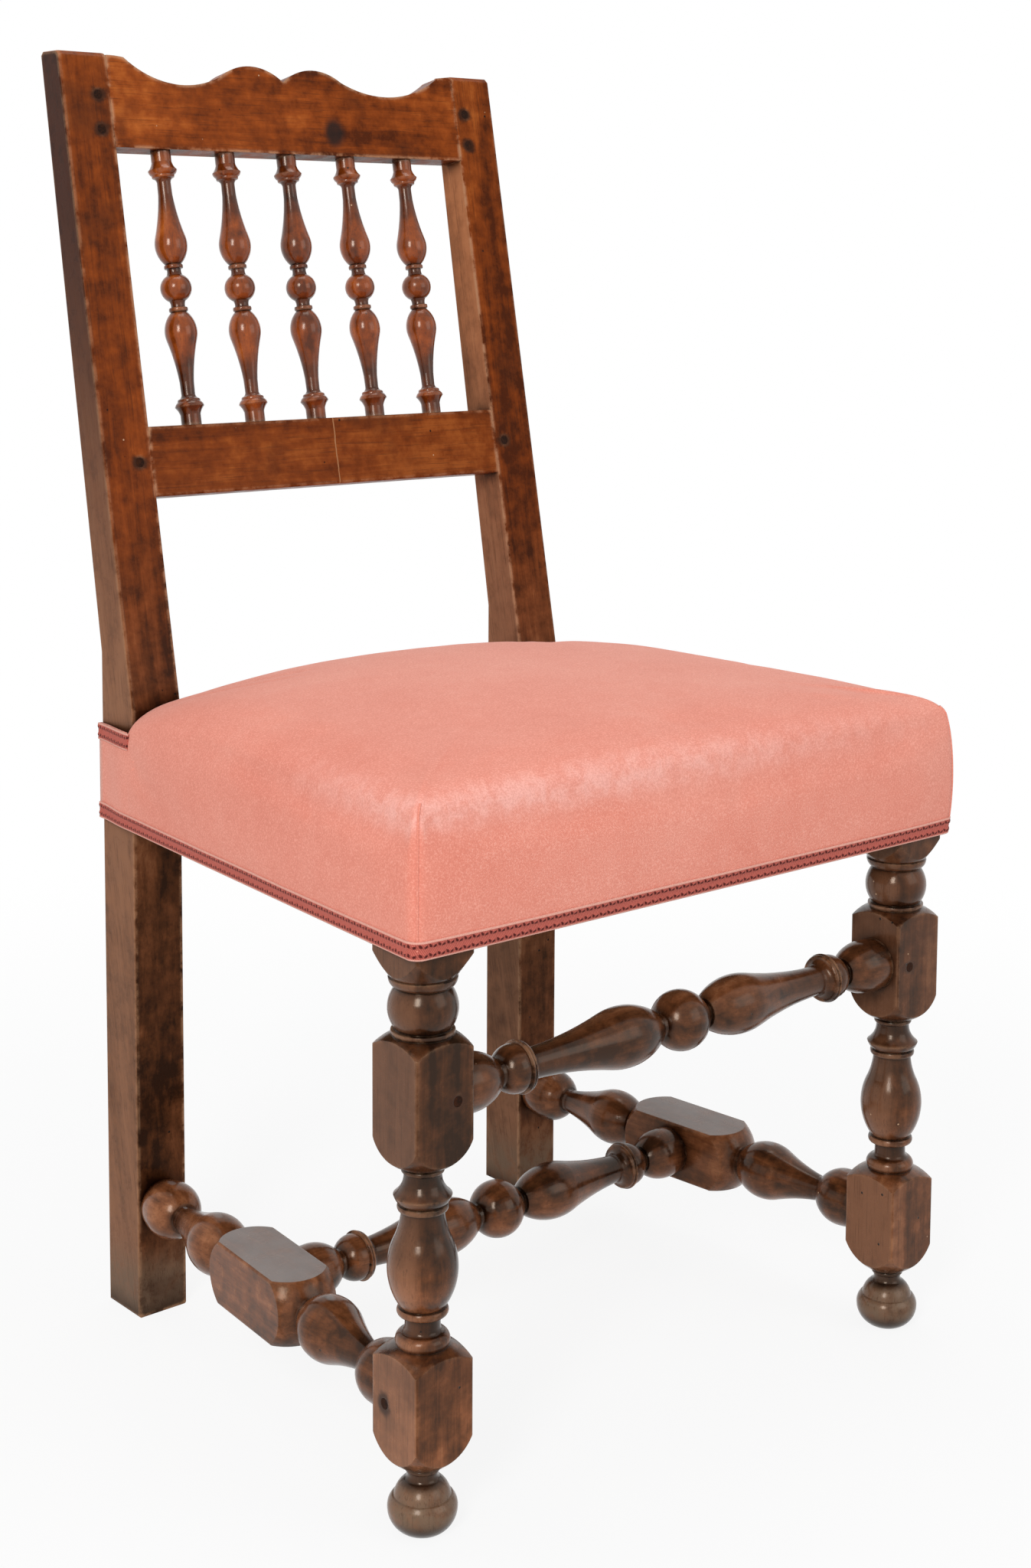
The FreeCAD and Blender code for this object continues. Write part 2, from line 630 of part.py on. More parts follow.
lower_rail = new_body("LowerRail")
lower_sketch = new_sketch(lower_rail, "LowerRailOutline", "XZ_Plane")
draw(lower_sketch, rectangle(ZERO - POST_IN, POST_IN, LOWER_RAIL_BOTTOM, LOWER_RAIL_TOP))
lower_pad = pad(lower_rail, lower_sketch, S["rail_thickness"], towards_back=True)
ease(lower_rail, lower_pad, runs_along(ABOUT_X))
lower_rail.Placement = BACK_FRAME
lower_parts = [lower_rail]
for side, sign in SIDES.items():
    lower_parts.append(back_tenon("LowerTenon" + side, sign, LOWER_RAIL_BOTTOM, S["lower_rail_height"],
                                  ZERO))
lower_holes = spindle_sockets("LowerSocket", LOWER_RAIL_TOP, False)
lower_holes += back_peg_holes("LowerPegHole", [lower_peg_height()])
node(carved("LowerBackRail", joined("LowerWithTenons", lower_parts), lower_holes), "lower_back_rail")

for number in range(SPINDLE_COUNT):
    spindle = new_body(f"Spindle{number + 1}")
    profile = new_sketch(spindle, f"SpindleProfile{number + 1}", "XZ_Plane")
    reach = half(CREST_BOTTOM - LOWER_RAIL_TOP)
    tenon = S["spindle_tenon_radius"]
    turned = mirrored("spindle", reach)
    bottom = turned[0][0]
    top = turned[-1][0]
    low_tenon = [(bottom - S["spindle_tenon_length"], tenon, ZERO), (bottom, tenon, ZERO)]
    high_tenon = [(top, tenon, ZERO), (top + S["spindle_tenon_length"], tenon, ZERO)]
    draw(profile, spun(low_tenon + turned + high_tenon))
    turn(spindle, profile, "Revolution")
    spindle.Placement = in_back(spindle_x(number), S["rail_thickness"].number / 2, LOWER_RAIL_TOP.number)
    node(spindle, f"back_spindle_{number + 1}")

for label, heights in (("crest_pegs", back_peg_heights()), ("lower_rail_pegs", [lower_peg_height()])):
    pegs = [back_peg(f"{label}{side}{number}", sign, height, ZERO)
            for side, sign in SIDES.items() for number, height in enumerate(heights)]
    node(grouped(label.title().replace("_", ""), pegs), label)


# Stretchers
def spun_stretcher(name, piece, reach):
    body = new_body(name)
    profile = new_sketch(body, name + "Profile", "XZ_Plane")
    draw(profile, spun(mirrored(piece, reach)))
    turn(body, profile, "Revolution")
    return body


front_reach = LEG_X - LEG_HALF
front_body = spun_stretcher("FrontStretcherTurned", "front_stretcher", front_reach)
front_body.Placement = place(-front_reach.number, LEG_Y.number, FRONT_STRETCHER_Z, ABOUT_Y, 90)
front_parts = [front_body] + [front_tenon("FrontTenon" + side, sign, ZERO) for side, sign in SIDES.items()]
front_holes = [leg_pegs("FrontPegHole" + side, sign, GAP)[0] for side, sign in SIDES.items()]
node(carved("FrontStretcher", joined("FrontWithTenons", front_parts), front_holes), "front_stretcher")


def side_middle():
    near, far = side_shoulders(1)
    return (near + far) / 2


def turned_side(name, side):
    """A side stretcher turned from square stock, longer than its shoulders by the margin at each end."""
    near, far = side_shoulders(side)
    reach = as_size((far - near) / 2) + S["turning_margin"]
    body = new_body(name)
    square = new_sketch(body, name + "Square", "XY_Plane")
    draw(square, rectangle(ZERO - LEG_HALF, LEG_HALF, ZERO - LEG_HALF, LEG_HALF))
    ease(body, pad(body, square, reach * 2), runs_along(ABOUT_Z))
    profile = new_sketch(body, name + "Profile", "XZ_Plane")
    stations = mirrored("side", reach)
    draw(profile, waste(stations, stations[-1][0]))
    turn(body, profile, "Groove")
    body.Placement = along_stretcher(side, (near + far) / 2 - reach.number)
    return body


def medial_line():
    """The middle of the side stretchers: their distance from the chair's middle and their place in Y."""
    spot = along_stretcher(1, side_middle()).Base
    return spot.x, spot.y


def medial_tenon(name, side, slack):
    """The medial stretcher's round tenon, from inside its shoulder into a side stretcher's block."""
    x, y = medial_line()
    overlap = S["medial_tenon_radius"]
    length = S["medial_tenon_length"] + slack + overlap
    start = x - LEG_HALF.number - overlap.number
    spot = place(side * start, y, STRETCHER_Z, ABOUT_Y, side * 90)
    return cylinder(name, S["medial_tenon_radius"] + slack, length, spot)


def side_stock(name, side):
    """The square section of a side stretcher over its middle block, used to trim the medial's shoulders."""
    spot = along_stretcher(side, side_middle(), ABOUT_Z, 0)
    length = S["side_block_end_rise"] * 2
    local = place(-LEG_HALF.number, -length.number / 2, -LEG_HALF.number)
    return box(name, S["leg_side"], length, S["leg_side"], spot.multiply(local))


for side, sign in SIDES.items():
    title = side.title()
    body = turned_side("SideTurned" + title, sign)
    depth = S["leg_to_post"] - LEG_HALF
    wide = (LEG_X + S["leg_side"]) * 2
    span = box("SideSpan" + title, wide, depth, RAIL_TOP,
               place(-wide.number / 2, (LEG_Y + LEG_HALF).number, 0))
    trimmed = doc.addObject("Part::Common", "SideTrimmed" + title)
    trimmed.Base = body
    trimmed.Tool = span
    parts = [trimmed] + [stretcher_tenon(f"SideTenon{title}{end}", sign, end == "Leg", ZERO)
                         for end in ("Leg", "Post")]
    holes = [medial_tenon("MedialHole" + title, sign, GAP), leg_pegs("SidePegHole" + title, sign, GAP)[1]]
    node(carved("SideStretcher" + title, joined("SideWithTenons" + title, parts), holes),
         "side_stretcher_" + side)

medial_x, medial_y = medial_line()
medial_reach = as_size(medial_x) - LEG_HALF + S["turning_margin"]
medial_body = spun_stretcher("MedialTurned", "medial", medial_reach)
medial_body.Placement = place(-medial_reach.number, medial_y, STRETCHER_Z, ABOUT_Y, 90)
medial_trimmed = carved("MedialTrimmed", medial_body,
                        [side_stock("MedialTrim" + side, sign) for side, sign in SIDES.items()])
medial_parts = [medial_trimmed] + [medial_tenon("MedialTenon" + side, sign, ZERO)
                                   for side, sign in SIDES.items()]
node(joined("MedialStretcher", medial_parts), "medial_stretcher")

stretcher_pegs = [peg for side, sign in SIDES.items() for peg in leg_pegs("StretcherPeg" + side, sign, ZERO)]
node(grouped("StretcherPegs", stretcher_pegs), "stretcher_pegs")


# Seat frame: four rails tenoned into the legs and posts
front_rail = box("FrontRailBlank", (LEG_X - LEG_HALF) * 2, S["seat_rail_thickness"], S["seat_rail_height"],
                 place(-(LEG_X - LEG_HALF).number, front_rail_y() - S["seat_rail_thickness"].number / 2,
                       S["seat_rail_bottom"].number))
node(joined("SeatRailFront", [front_rail] + [TENONS[side]["front"] for side in SIDES]), "seat_rail_front")

rear_rail = box("RearRailBlank", POST_IN * 2, S["seat_rail_thickness"], S["seat_rail_height"],
                place(-POST_IN.number, rear_rail_y() - S["seat_rail_thickness"].number / 2,
                      S["seat_rail_bottom"].number))
node(joined("SeatRailRear", [rear_rail] + [TENONS[side]["rear"] for side in SIDES]), "seat_rail_rear")

for side, sign in SIDES.items():
    title = side.title()
    body = new_body("SideRail" + title)
    plan = new_sketch(body, "SideRailPlan" + title, "XY_Plane")
    at_leg = (LEG_X + LEG_HALF) * sign
    at_post = POST_OUT * sign
    inward = S["seat_rail_thickness"] * sign
    back_y = S["leg_to_post"]
    draw(plan, [(at_leg, LEG_HALF, 0), (at_post, back_y, 0), (at_post - inward, back_y, 0),
                (at_leg - inward, LEG_HALF, 0)])
    pad(body, plan, S["seat_rail_height"])
    body.Placement = place(0, LEG_Y.number, S["seat_rail_bottom"].number)
    node(joined("SeatRail" + title, [body, TENONS[side]["leg"], TENONS[side]["post"]]), "seat_rail_" + side)


# Webbing and hessian, tacked on top of the rails
def side_inner_x(y):
    """The side rails' inner face at a distance behind the leg's axis."""
    start = (LEG_X + LEG_HALF - S["seat_rail_thickness"]).number
    end = (POST_OUT - S["seat_rail_thickness"]).number
    share = (y - LEG_HALF.number) / (S["leg_to_post"] - LEG_HALF).number
    return start + (end - start) * share


WELL_FRONT = (S["seat_rail_thickness"] - LEG_HALF).number
WELL_REAR = rear_rail_y() - S["seat_rail_thickness"].number / 2 - LEG_Y.number
LAND = S["webbing_land"].number


def spaced(low, high, count):
    """Middles of evenly spaced straps between two edges."""
    return [low + (high - low) * (index + 0.5) / count for index in range(count)]


lengthwise = []
well_half = side_inner_x(WELL_REAR)
for number, x in enumerate(spaced(-well_half, well_half, STRAP_COUNT)):
    run = as_size(WELL_REAR - WELL_FRONT) + S["webbing_land"] * 2
    lengthwise.append(centred(f"StrapLong{number}", S["webbing_width"], run, S["webbing_thickness"], x,
                              LEG_Y.number + (WELL_FRONT + WELL_REAR) / 2, RAIL_TOP.number))
node(grouped("WebbingLengthwise", lengthwise), "webbing_lengthwise")

crosswise = []
for number, y in enumerate(spaced(LEG_HALF.number, S["leg_to_post"].number, STRAP_COUNT)):
    run = as_size(2 * side_inner_x(y)) + S["webbing_land"] * 2
    crosswise.append(centred(f"StrapCross{number}", run, S["webbing_width"], S["webbing_thickness"], 0,
                             LEG_Y.number + y, (RAIL_TOP + S["webbing_thickness"]).number))
node(grouped("WebbingCrosswise", crosswise), "webbing_crosswise")

WEB_TOP = RAIL_TOP + S["webbing_thickness"] * 2
hessian = new_body("Hessian")
hessian_plan = new_sketch(hessian, "HessianPlan", "XY_Plane")
hem_front = as_size(WELL_FRONT) - S["webbing_land"]
hem_rear = as_size(WELL_REAR) + S["webbing_land"]
hem_post = S["leg_to_post"] - S["seat_clearance"]
front_half = as_size(side_inner_x(WELL_FRONT)) + S["webbing_land"]
post_half = as_size(side_inner_x(S["leg_to_post"].number)) + S["webbing_land"]
rear_half = POST_IN - S["seat_clearance"]
right_edge = [(front_half, hem_front, 0), (post_half, hem_post, 0),
              (rear_half, hem_post, 0), (rear_half, hem_rear, 0)]
left_edge = [(ZERO - x, y, 0) for x, y, bulge in reversed(right_edge)]
draw(hessian_plan, right_edge + left_edge)
pad(hessian, hessian_plan, S["hessian_thickness"])
hessian.Placement = place(0, LEG_Y.number, WEB_TOP.number)
node(hessian, "base_cloth")


# Upholstery: crowned lofts across the seat
COVER_HEM = S["seat_rail_bottom"] + S["hem_lift"]
SEAT_EDGE = RAIL_TOP + S["padding_height"]
SEAT_SHOULDER = SEAT_EDGE + S["shoulder_rise"]
WRAP_TOP = RAIL_TOP + S["post_wrap_rise"]
# Slices of the seat: the end they lie near, then distance in and drop in end rounds, and share of the crown
SEAT_SLICES = (("front", 0, 1, 0.05), ("front", 0.3, 0.35, 0.25), ("front", 1, 0, 0.5), ("middle", 0, 0, 1),
               ("rear", -1, 0, 0.5), ("rear", 0, 1, 0.1))


def cover_half_width(y):
    """Half the cover's width at a distance behind the leg's axis."""
    start = (LEG_X + LEG_HALF + S["cover_stand"]).number
    end = (POST_OUT + S["cover_thickness"] + S["seat_clearance"]).number
    front = -LEG_HALF.number
    rear = (S["leg_to_post"] + S["post_foot_depth"]).number
    return start + (end - start) * (y - front) / (rear - front)


def side_swell(height):
    """How far the cover's side stands out beyond its hem at a height."""
    middle = half(COVER_HEM + SEAT_EDGE).number
    reach = middle - COVER_HEM.number
    return S["cover_side_bulge"].number * (1 - ((height - middle) / reach) ** 2)


def seat_section(y, width, low, edge, shoulder, crown):
    """One closed slice across the seat: flat below, bulging sides, soft shoulders and a crowned top."""
    def at(x, z):
        return FreeCAD.Vector(x, LEG_Y.number + y, z)

    top = width - S["shoulder_inset"].number
    knee = S["shoulder_knee"].number
    turn_height = edge + S["shoulder_turn"].number
    middle = (low + edge) / 2
    foot = width + side_swell(low)
    waist = width + side_swell(middle)
    edges = [
        Part.makeLine(at(-foot, low), at(foot, low)),
        Part.Arc(at(foot, low), at(waist, middle), at(width, edge)).toShape(),
        Part.Arc(at(width, edge), at(width - knee, turn_height), at(top, shoulder)).toShape(),
        Part.Arc(at(top, shoulder), at(0, shoulder + crown), at(-top, shoulder)).toShape(),
        Part.Arc(at(-top, shoulder), at(-width + knee, turn_height), at(-width, edge)).toShape(),
        Part.Arc(at(-width, edge), at(-waist, middle), at(-foot, low)).toShape(),
    ]
    return Part.Wire(edges)


def seat_loft(shrink, low):
    """The seat's crowned body above a height, drawn in on every side by a thickness."""
    front = -(LEG_HALF + S["cover_stand"]).number + shrink
    rear = (S["leg_to_post"] + S["post_foot_depth"]).number - shrink
    starts = {"front": front, "middle": (front + rear) / 2, "rear": rear}
    soft = S["seat_end_round"].number
    wires = []
    for end, inward, drop, crown in SEAT_SLICES:
        y = starts[end] + inward * soft
        fall = drop * soft + shrink
        wires.append(seat_section(y, cover_half_width(y) - shrink, low, SEAT_EDGE.number - fall,
                                  SEAT_SHOULDER.number - fall, S["seat_crown"].number * crown))
    return Part.makeLoft(wires, True, True)


def slab(x0, x1, y0, y1, z0, z1):
    """A plain block by its corners, with y counted from the leg's axis."""
    return Part.makeBox(x1 - x0, y1 - y0, z1 - z0, FreeCAD.Vector(x0, LEG_Y.number + y0, z0))


def post_room(side, gap):
    """The room that a rear post takes where it passes through the seat."""
    top = S["post_height"].number
    outer = POST_OUT.number + gap
    inner = POST_IN.number - gap
    low, high = (inner, outer) if side > 0 else (-outer, -inner)
    y = S["leg_to_post"].number - gap
    deep = S["post_foot_depth"].number + 2 * gap + RAKE_RUN.number
    return slab(low, high, y, y + deep, 0, top)


def wrap_room(side):
    """The room above the flap of cover that wraps the outer face of a rear post."""
    outer = 2 * POST_OUT.number
    inner = POST_IN.number - S["seat_clearance"].number
    low, high = (inner, outer) if side > 0 else (-outer, -inner)
    y = S["leg_to_post"].number - S["seat_clearance"].number
    return slab(low, high, y, y + outer, WRAP_TOP.number, S["post_height"].number)


def upholstery(name, shape, label):
    feature = doc.addObject("Part::Feature", name)
    feature.Shape = shape
    return node(feature, label)


seat_gap = S["seat_clearance"].number
cover_skin = S["cover_thickness"].number
stuffing_low = (WEB_TOP + S["hessian_thickness"]).number + seat_gap
rear_y = (S["leg_to_post"] + S["post_foot_depth"]).number
hem = COVER_HEM.number
stuffing = seat_loft(cover_skin + seat_gap, stuffing_low)
cover = seat_loft(0, hem).cut(seat_loft(cover_skin, hem - cover_skin))
for sign in SIDES.values():
    stuffing = stuffing.cut(post_room(sign, seat_gap))
    cover = cover.cut(post_room(sign, seat_gap)).cut(wrap_room(sign))
upholstery("SeatStuffing", stuffing, "seat_stuffing")
upholstery("SeatCover", cover, "seat_cover")


# Gimp braid along the cover's hem and over the flaps on the posts
def braid_strip(name, corners, low, label):
    """A flat strip of braid by its plan corners, with y counted from the leg's axis."""
    points = [FreeCAD.Vector(x, LEG_Y.number + y, low) for x, y in corners]
    face = Part.Face(Part.makePolygon(points + points[:1]))
    upholstery(name, face.extrude(FreeCAD.Vector(0, 0, S["braid_height"].number)), label)


def side_braid(name, side, start, low, label):
    """A strip along one side of the cover, from a distance behind the leg's axis to the post's back."""
    stand = max(side_swell(low), side_swell(low + S["braid_height"].number)) + seat_gap
    near = cover_half_width(start) + stand
    far = cover_half_width(rear_y) + stand
    braid_strip(name, [(side * near, start), (side * (near + braid), start), (side * (far + braid), rear_y),
                       (side * far, rear_y)], low, label)


def cross_braid(name, half_width, face_y, label):
    """A strip across the front or the rear of the cover."""
    braid_strip(name, [(-half_width, face_y), (half_width, face_y), (half_width, face_y + braid),
                       (-half_width, face_y + braid)], hem, label)


braid = S["braid_thickness"].number
front_y = -(LEG_HALF + S["cover_stand"]).number
hem_stand = side_swell(hem + S["braid_height"].number) + seat_gap + braid
cross_braid("BraidFront", cover_half_width(front_y) + hem_stand, front_y - seat_gap - braid, "braid_front")
cross_braid("BraidRear", POST_IN.number - seat_gap, rear_y + seat_gap, "braid_rear")
for side, sign in SIDES.items():
    title = side.title()
    side_braid("Braid" + title, sign, front_y - seat_gap, hem, "braid_" + side)
    flap_low = (WRAP_TOP - S["braid_height"]).number
    side_braid("BraidPost" + title, sign, S["leg_to_post"].number, flap_low, "braid_post_" + side)


def check_document():
    """Stop if anything failed to build, rather than write a broken piece."""
    for item in doc.Objects:
        if "Invalid" in item.State or "Error" in item.State:
            raise RuntimeError(f"{item.Name} failed: {item.State}")
    for piece in NODES:
        if piece.Shape.isNull() or not piece.Shape.isValid() or not piece.Shape.Solids:
            raise RuntimeError(f"{piece.Label} has no sound solid")


doc.recompute()
check_document()
os.makedirs("parts", exist_ok=True)
for piece in NODES:
    piece.Shape.exportStep(f"parts/{piece.Label}.step")
whole = Part.makeCompound([piece.Shape for piece in NODES]).optimalBoundingBox(False, False)
print(f"{len(NODES)} nodes, box {whole.XLength:.1f} x {whole.YLength:.1f} x {whole.ZLength:.1f} mm,"
      f" middle {whole.Center.x:.2f} {whole.Center.y:.2f}, floor {whole.ZMin:.2f}")
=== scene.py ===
"""Looks for the turned walnut dining chair: woods, velvet seat, gimp braid, webbing, studio and camera.

Metres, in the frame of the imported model: +Z is up, the chair faces -Y, and the floor is z = 0.
"""
import math

import bpy
import numpy as np
from mathutils import Matrix, Vector, noise


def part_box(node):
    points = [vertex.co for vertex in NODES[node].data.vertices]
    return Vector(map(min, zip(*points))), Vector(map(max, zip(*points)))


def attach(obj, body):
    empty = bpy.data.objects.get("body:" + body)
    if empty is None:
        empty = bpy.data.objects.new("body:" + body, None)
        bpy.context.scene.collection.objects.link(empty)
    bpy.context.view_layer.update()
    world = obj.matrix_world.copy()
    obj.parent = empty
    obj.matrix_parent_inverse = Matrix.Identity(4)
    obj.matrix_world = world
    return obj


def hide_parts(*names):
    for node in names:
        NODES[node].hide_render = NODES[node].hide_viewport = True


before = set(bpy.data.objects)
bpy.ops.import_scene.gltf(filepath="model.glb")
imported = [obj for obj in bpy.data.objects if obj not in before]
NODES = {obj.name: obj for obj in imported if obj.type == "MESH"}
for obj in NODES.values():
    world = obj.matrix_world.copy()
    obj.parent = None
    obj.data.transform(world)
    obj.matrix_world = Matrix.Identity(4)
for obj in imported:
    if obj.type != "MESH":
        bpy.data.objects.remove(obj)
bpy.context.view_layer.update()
MM = 0.001

# Camera: place, heading from +Y towards +X, dip below the horizon, roll, and focal length in photo pixels
PHOTO_HEIGHT = 2048
CAMERA_PLACE = (-1.1347, -1.3885, 0.8403)
CAMERA_HEADING = 40.397
CAMERA_DIP = 5.942
CAMERA_ROLL = 0.296
FOCAL_PIXELS = 3020.1
AXIS_PIXEL_Y = 650.1
SENSOR = 36.0

# Places read from the frame
LEG_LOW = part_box("front_leg_left")[0]
POST_LOW, POST_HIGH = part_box("rear_post_left")
COVER_LOW, COVER_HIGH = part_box("seat_cover")
STUFFING_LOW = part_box("seat_stuffing")[0]
BRAID_LOW, BRAID_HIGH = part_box("braid_front")
FLAP_LOW, FLAP_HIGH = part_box("braid_post_left")

# Seat: how the cover stands on its frame
POST_CLEARANCE = 0.4 * MM
LEG_COVER = 5 * MM
POST_COVER = 2.8 * MM
SHOULDER_DROP = 14 * MM
FRONT_Y = COVER_LOW.y
REAR_Y = COVER_HIGH.y
NOTCH_Y = POST_LOW.y - POST_CLEARANCE
NOTCH_X = -POST_HIGH.x - POST_CLEARANCE
FRONT_HALF = -LEG_LOW.x + LEG_COVER
REAR_HALF = -POST_LOW.x + POST_COVER
HEM_Z = COVER_LOW.z
SHOULDER_Z = COVER_HIGH.z - SHOULDER_DROP
SEAT_FLOOR_Z = STUFFING_LOW.z
SIDE_SWELL = 3.5 * MM
SKIN = 2.4 * MM
CORNER_RADIUS = 7 * MM
# Seat top: its crown, and how far in and how deep it rounds over at its edges and towards the rear
CROWN = 19.5 * MM
CROWN_POWER = 2.2
CROWN_PEAK = 0.5
FRONT_CROWN = 0.1
EDGE_ROUND = 24 * MM
EDGE_ROUND_REAR = 42 * MM
EDGE_FALL = 18 * MM
CORNER_POWER = 8
REAR_ROUND = 198 * MM
REAR_FALL = 56 * MM


class Shade:
    """A node tree of a new material, or of a given world, with one short call for each node."""

    def __init__(self, owner):
        if isinstance(owner, str):
            owner = bpy.data.materials.new(owner)
            owner.use_nodes = True
        self.material = owner
        self.nodes = owner.node_tree.nodes
        self.links = owner.node_tree.links
        self.nodes.clear()

    def feed(self, socket, value):
        if isinstance(value, bpy.types.NodeSocket):
            self.links.new(value, socket)
        elif isinstance(value, bpy.types.Node):
            self.links.new(value.outputs[0], socket)
        else:
            socket.default_value = value

    def add(self, kind, inputs=None, **settings):
        made = self.nodes.new("ShaderNode" + kind)
        for name, value in settings.items():
            setattr(made, name, value)
        for key, value in (inputs or {}).items():
            self.feed(made.inputs[key], value)
        return made

    def math(self, operation, first, second=0.0):
        return self.add("Math", {0: first, 1: second}, operation=operation)

    def times(self, first, second):
        return self.math("MULTIPLY", first, second)

    def plus(self, first, second):
        return self.math("ADD", first, second)

    def less(self, first, second):
        return self.math("SUBTRACT", first, second)

    def vector(self, operation, *vectors):
        """The result of a vector operation: a vector, or a number for a length."""
        made = self.add("VectorMath", dict(enumerate(vectors)), operation=operation)
        return made.outputs["Value" if operation == "LENGTH" else "Vector"]

    def noise(self, vector, scale, detail=2.0, rough=0.5, distortion=0.0):
        return self.add("TexNoise", {"Vector": vector, "Scale": scale, "Detail": detail, "Roughness": rough,
                                     "Distortion": distortion})

    def span(self, value, low, high, start=0.0, end=1.0, smooth=True):
        kind = "SMOOTHSTEP" if smooth else "LINEAR"
        return self.add("MapRange", {"Value": value, "From Min": low, "From Max": high, "To Min": start,
                                     "To Max": end}, interpolation_type=kind, clamp=True)

    def ramp(self, value, stops):
        made = self.add("ValToRGB", {"Fac": value})
        elements = made.color_ramp.elements
        while len(elements) < len(stops):
            elements.new(0.5)
        for element, (place, colour) in zip(elements, stops):
            element.position = place
            element.color = (*colour, 1.0)
        return made.outputs["Color"]

    def mix(self, share, first, second, blend="MIX"):
        made = self.add("Mix", data_type="RGBA", blend_type=blend)
        self.feed(made.inputs[0], share)
        for socket, colour in ((made.inputs[6], first), (made.inputs[7], second)):
            self.feed(socket, (*colour, 1.0) if isinstance(colour, tuple) else colour)
        return made.outputs[2]

    def place(self):
        """The point on the object, in metres."""
        return self.add("TexCoord").outputs["Object"]

    def axes(self, vector):
        """The three coordinates of a vector."""
        return self.add("SeparateXYZ", {0: vector}).outputs

    def finish(self, colour, rough, bump, extras=None):
        inputs = {"Base Color": colour, "Roughness": rough, "Normal": bump, **(extras or {})}
        self.add("OutputMaterial", {"Surface": self.add("BsdfPrincipled", inputs)})
        return self.material


def cut_mask(shade, value, low, high):
    """1 below low, 0 above high."""
    return shade.span(value, low, high, 1.0, 0.0)


# Woods: directions of the grain, and tones from dark to pale
RAKE = math.radians(11.2)
UPRIGHT = (0.0, 0.0, 0.0)
LEANING = (RAKE, 0.0, 0.0)
ACROSS = (0.0, math.radians(90), 0.0)
FORE_AND_AFT = (math.radians(90), 0.0, 0.0)
WARM = ((0.0, (0.065, 0.012, 0.002)), (0.35, (0.160, 0.031, 0.004)), (0.65, (0.240, 0.050, 0.007)),
        (1.0, (0.36, 0.092, 0.016)))
DARK = ((0.0, (0.026, 0.009, 0.004)), (0.35, (0.086, 0.028, 0.010)), (0.65, (0.150, 0.050, 0.019)),
        (1.0, (0.24, 0.093, 0.040)))
STAIN = (0.036, 0.011, 0.005)
# Painted shade with dark old wax, multiplied into the hollows, joints and thin necks
HOLLOW_SHADE_AND_WAX = (0.12, 0.08, 0.06)
WORN_WOOD = (0.50, 0.27, 0.15)
# Dust with a painted sheen, on flat tops
DUST_AND_SHEEN = (0.27, 0.24, 0.23)
DUSTY_FOOT = (0.16, 0.105, 0.068)
BLACK_KNOT = (0.012, 0.010, 0.010)
PALE_CRACK = (0.36, 0.17, 0.075)
WORM_HOLE = (0.008, 0.005, 0.004)
PALE_FLECK = (0.50, 0.32, 0.19)
KNOT_RADIUS = 13 * MM
PEG_END_DEPTH = 3 * MM
PEG_HALO = 8 * MM
# Heights between which dark wood turns warm, the painted light and shade of left faces and of legs changes,
# and the feet's dust ends
DARK_TO_WARM_Z = (0.44, 0.70)
LEFT_LIGHT_Z = (0.50, 0.90)
LEG_STEP_Z = (0.165, 0.20)
FOOT_Z = (0.020, 0.065)
# Wear on the arrises, roughness from smooth to dull, and gloss of the wood under its wax
TURNED_FINISH = (0.35, (0.16, 0.32), 0.22)
FLAT_FINISH = (0.8, (0.26, 0.46), 0.05)
BLOCK_WAX = 0.10


def spot_mask(shade, place, spot, radius, flatten, wobble):
    """1 inside a ragged spot on the wood."""
    offset = shade.vector("MULTIPLY", shade.vector("SUBTRACT", place, spot), flatten)
    ragged = shade.times(shade.less(wobble, 0.5), radius)
    return cut_mask(shade, shade.plus(shade.vector("LENGTH", offset), ragged), radius * 0.35, radius)


def worm_marks(shade, place):
    """Small dark worm holes and pale flecks, each in a few cells of the surface."""
    cells = shade.add("TexVoronoi", {"Vector": place, "Scale": 95.0}, feature="F1")
    chance = shade.add("SeparateColor", {0: cells.outputs["Color"]}).outputs[0]
    near = cells.outputs["Distance"]
    hole = shade.times(cut_mask(shade, near, 0.07, 0.12), shade.span(chance, 0.90, 0.91))
    fleck = shade.times(cut_mask(shade, near, 0.05, 0.08), cut_mask(shade, chance, 0.09, 0.10))
    return hole, fleck


def turned_radius(shade, place, node, axis):
    """How far the surface is from the middle line of a turned node."""
    low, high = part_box(node)
    offset = shade.vector("SUBTRACT", place, tuple((low + high) / 2))
    return shade.vector("LENGTH", shade.vector("CROSS_PRODUCT", offset, tuple(axis.normalized())))


def wood_noise(shade, place, grain, seed):
    """The figure of the wood along its grain, its fibres, and its small and large patches."""
    turned = shade.add("Mapping", {"Vector": place, "Location": (seed * 1.7, seed * 0.9, seed * 0.37),
                                   "Rotation": grain}).outputs[0]
    broad = shade.noise(shade.vector("MULTIPLY", turned, (13.0, 13.0, 2.6)), 1.0, 4.0, 0.55, 0.8)
    streak = shade.noise(shade.vector("MULTIPLY", turned, (130.0, 130.0, 8.0)), 1.0, 5.0, 0.6, 0.5)
    fibre = shade.noise(shade.vector("MULTIPLY", turned, (900.0, 900.0, 30.0)), 1.0, 3.0, 0.6)
    mottle = shade.noise(place, 75.0, 4.0, 0.62)
    blotch = shade.noise(place, 13.0, 4.0, 0.6)
    figure = shade.plus(shade.times(broad, 0.48), shade.times(streak, 0.24))
    return shade.plus(figure, shade.times(mottle, 0.28)), fibre, mottle, blotch


def left_face_light(shade, colour, figure, height, sideways, side_light_tones):
    """The wood's colour, with a low and a high tone of painted light and shade on the faces towards -X."""
    facing = shade.span(shade.times(sideways, -1.0), 0.6, 0.9)
    patches = shade.span(figure, 0.38, 0.58, 0.55, 0.95)
    tone = shade.mix(shade.span(height, *LEFT_LIGHT_Z), *side_light_tones)
    return shade.mix(shade.times(facing, patches), colour, tone)


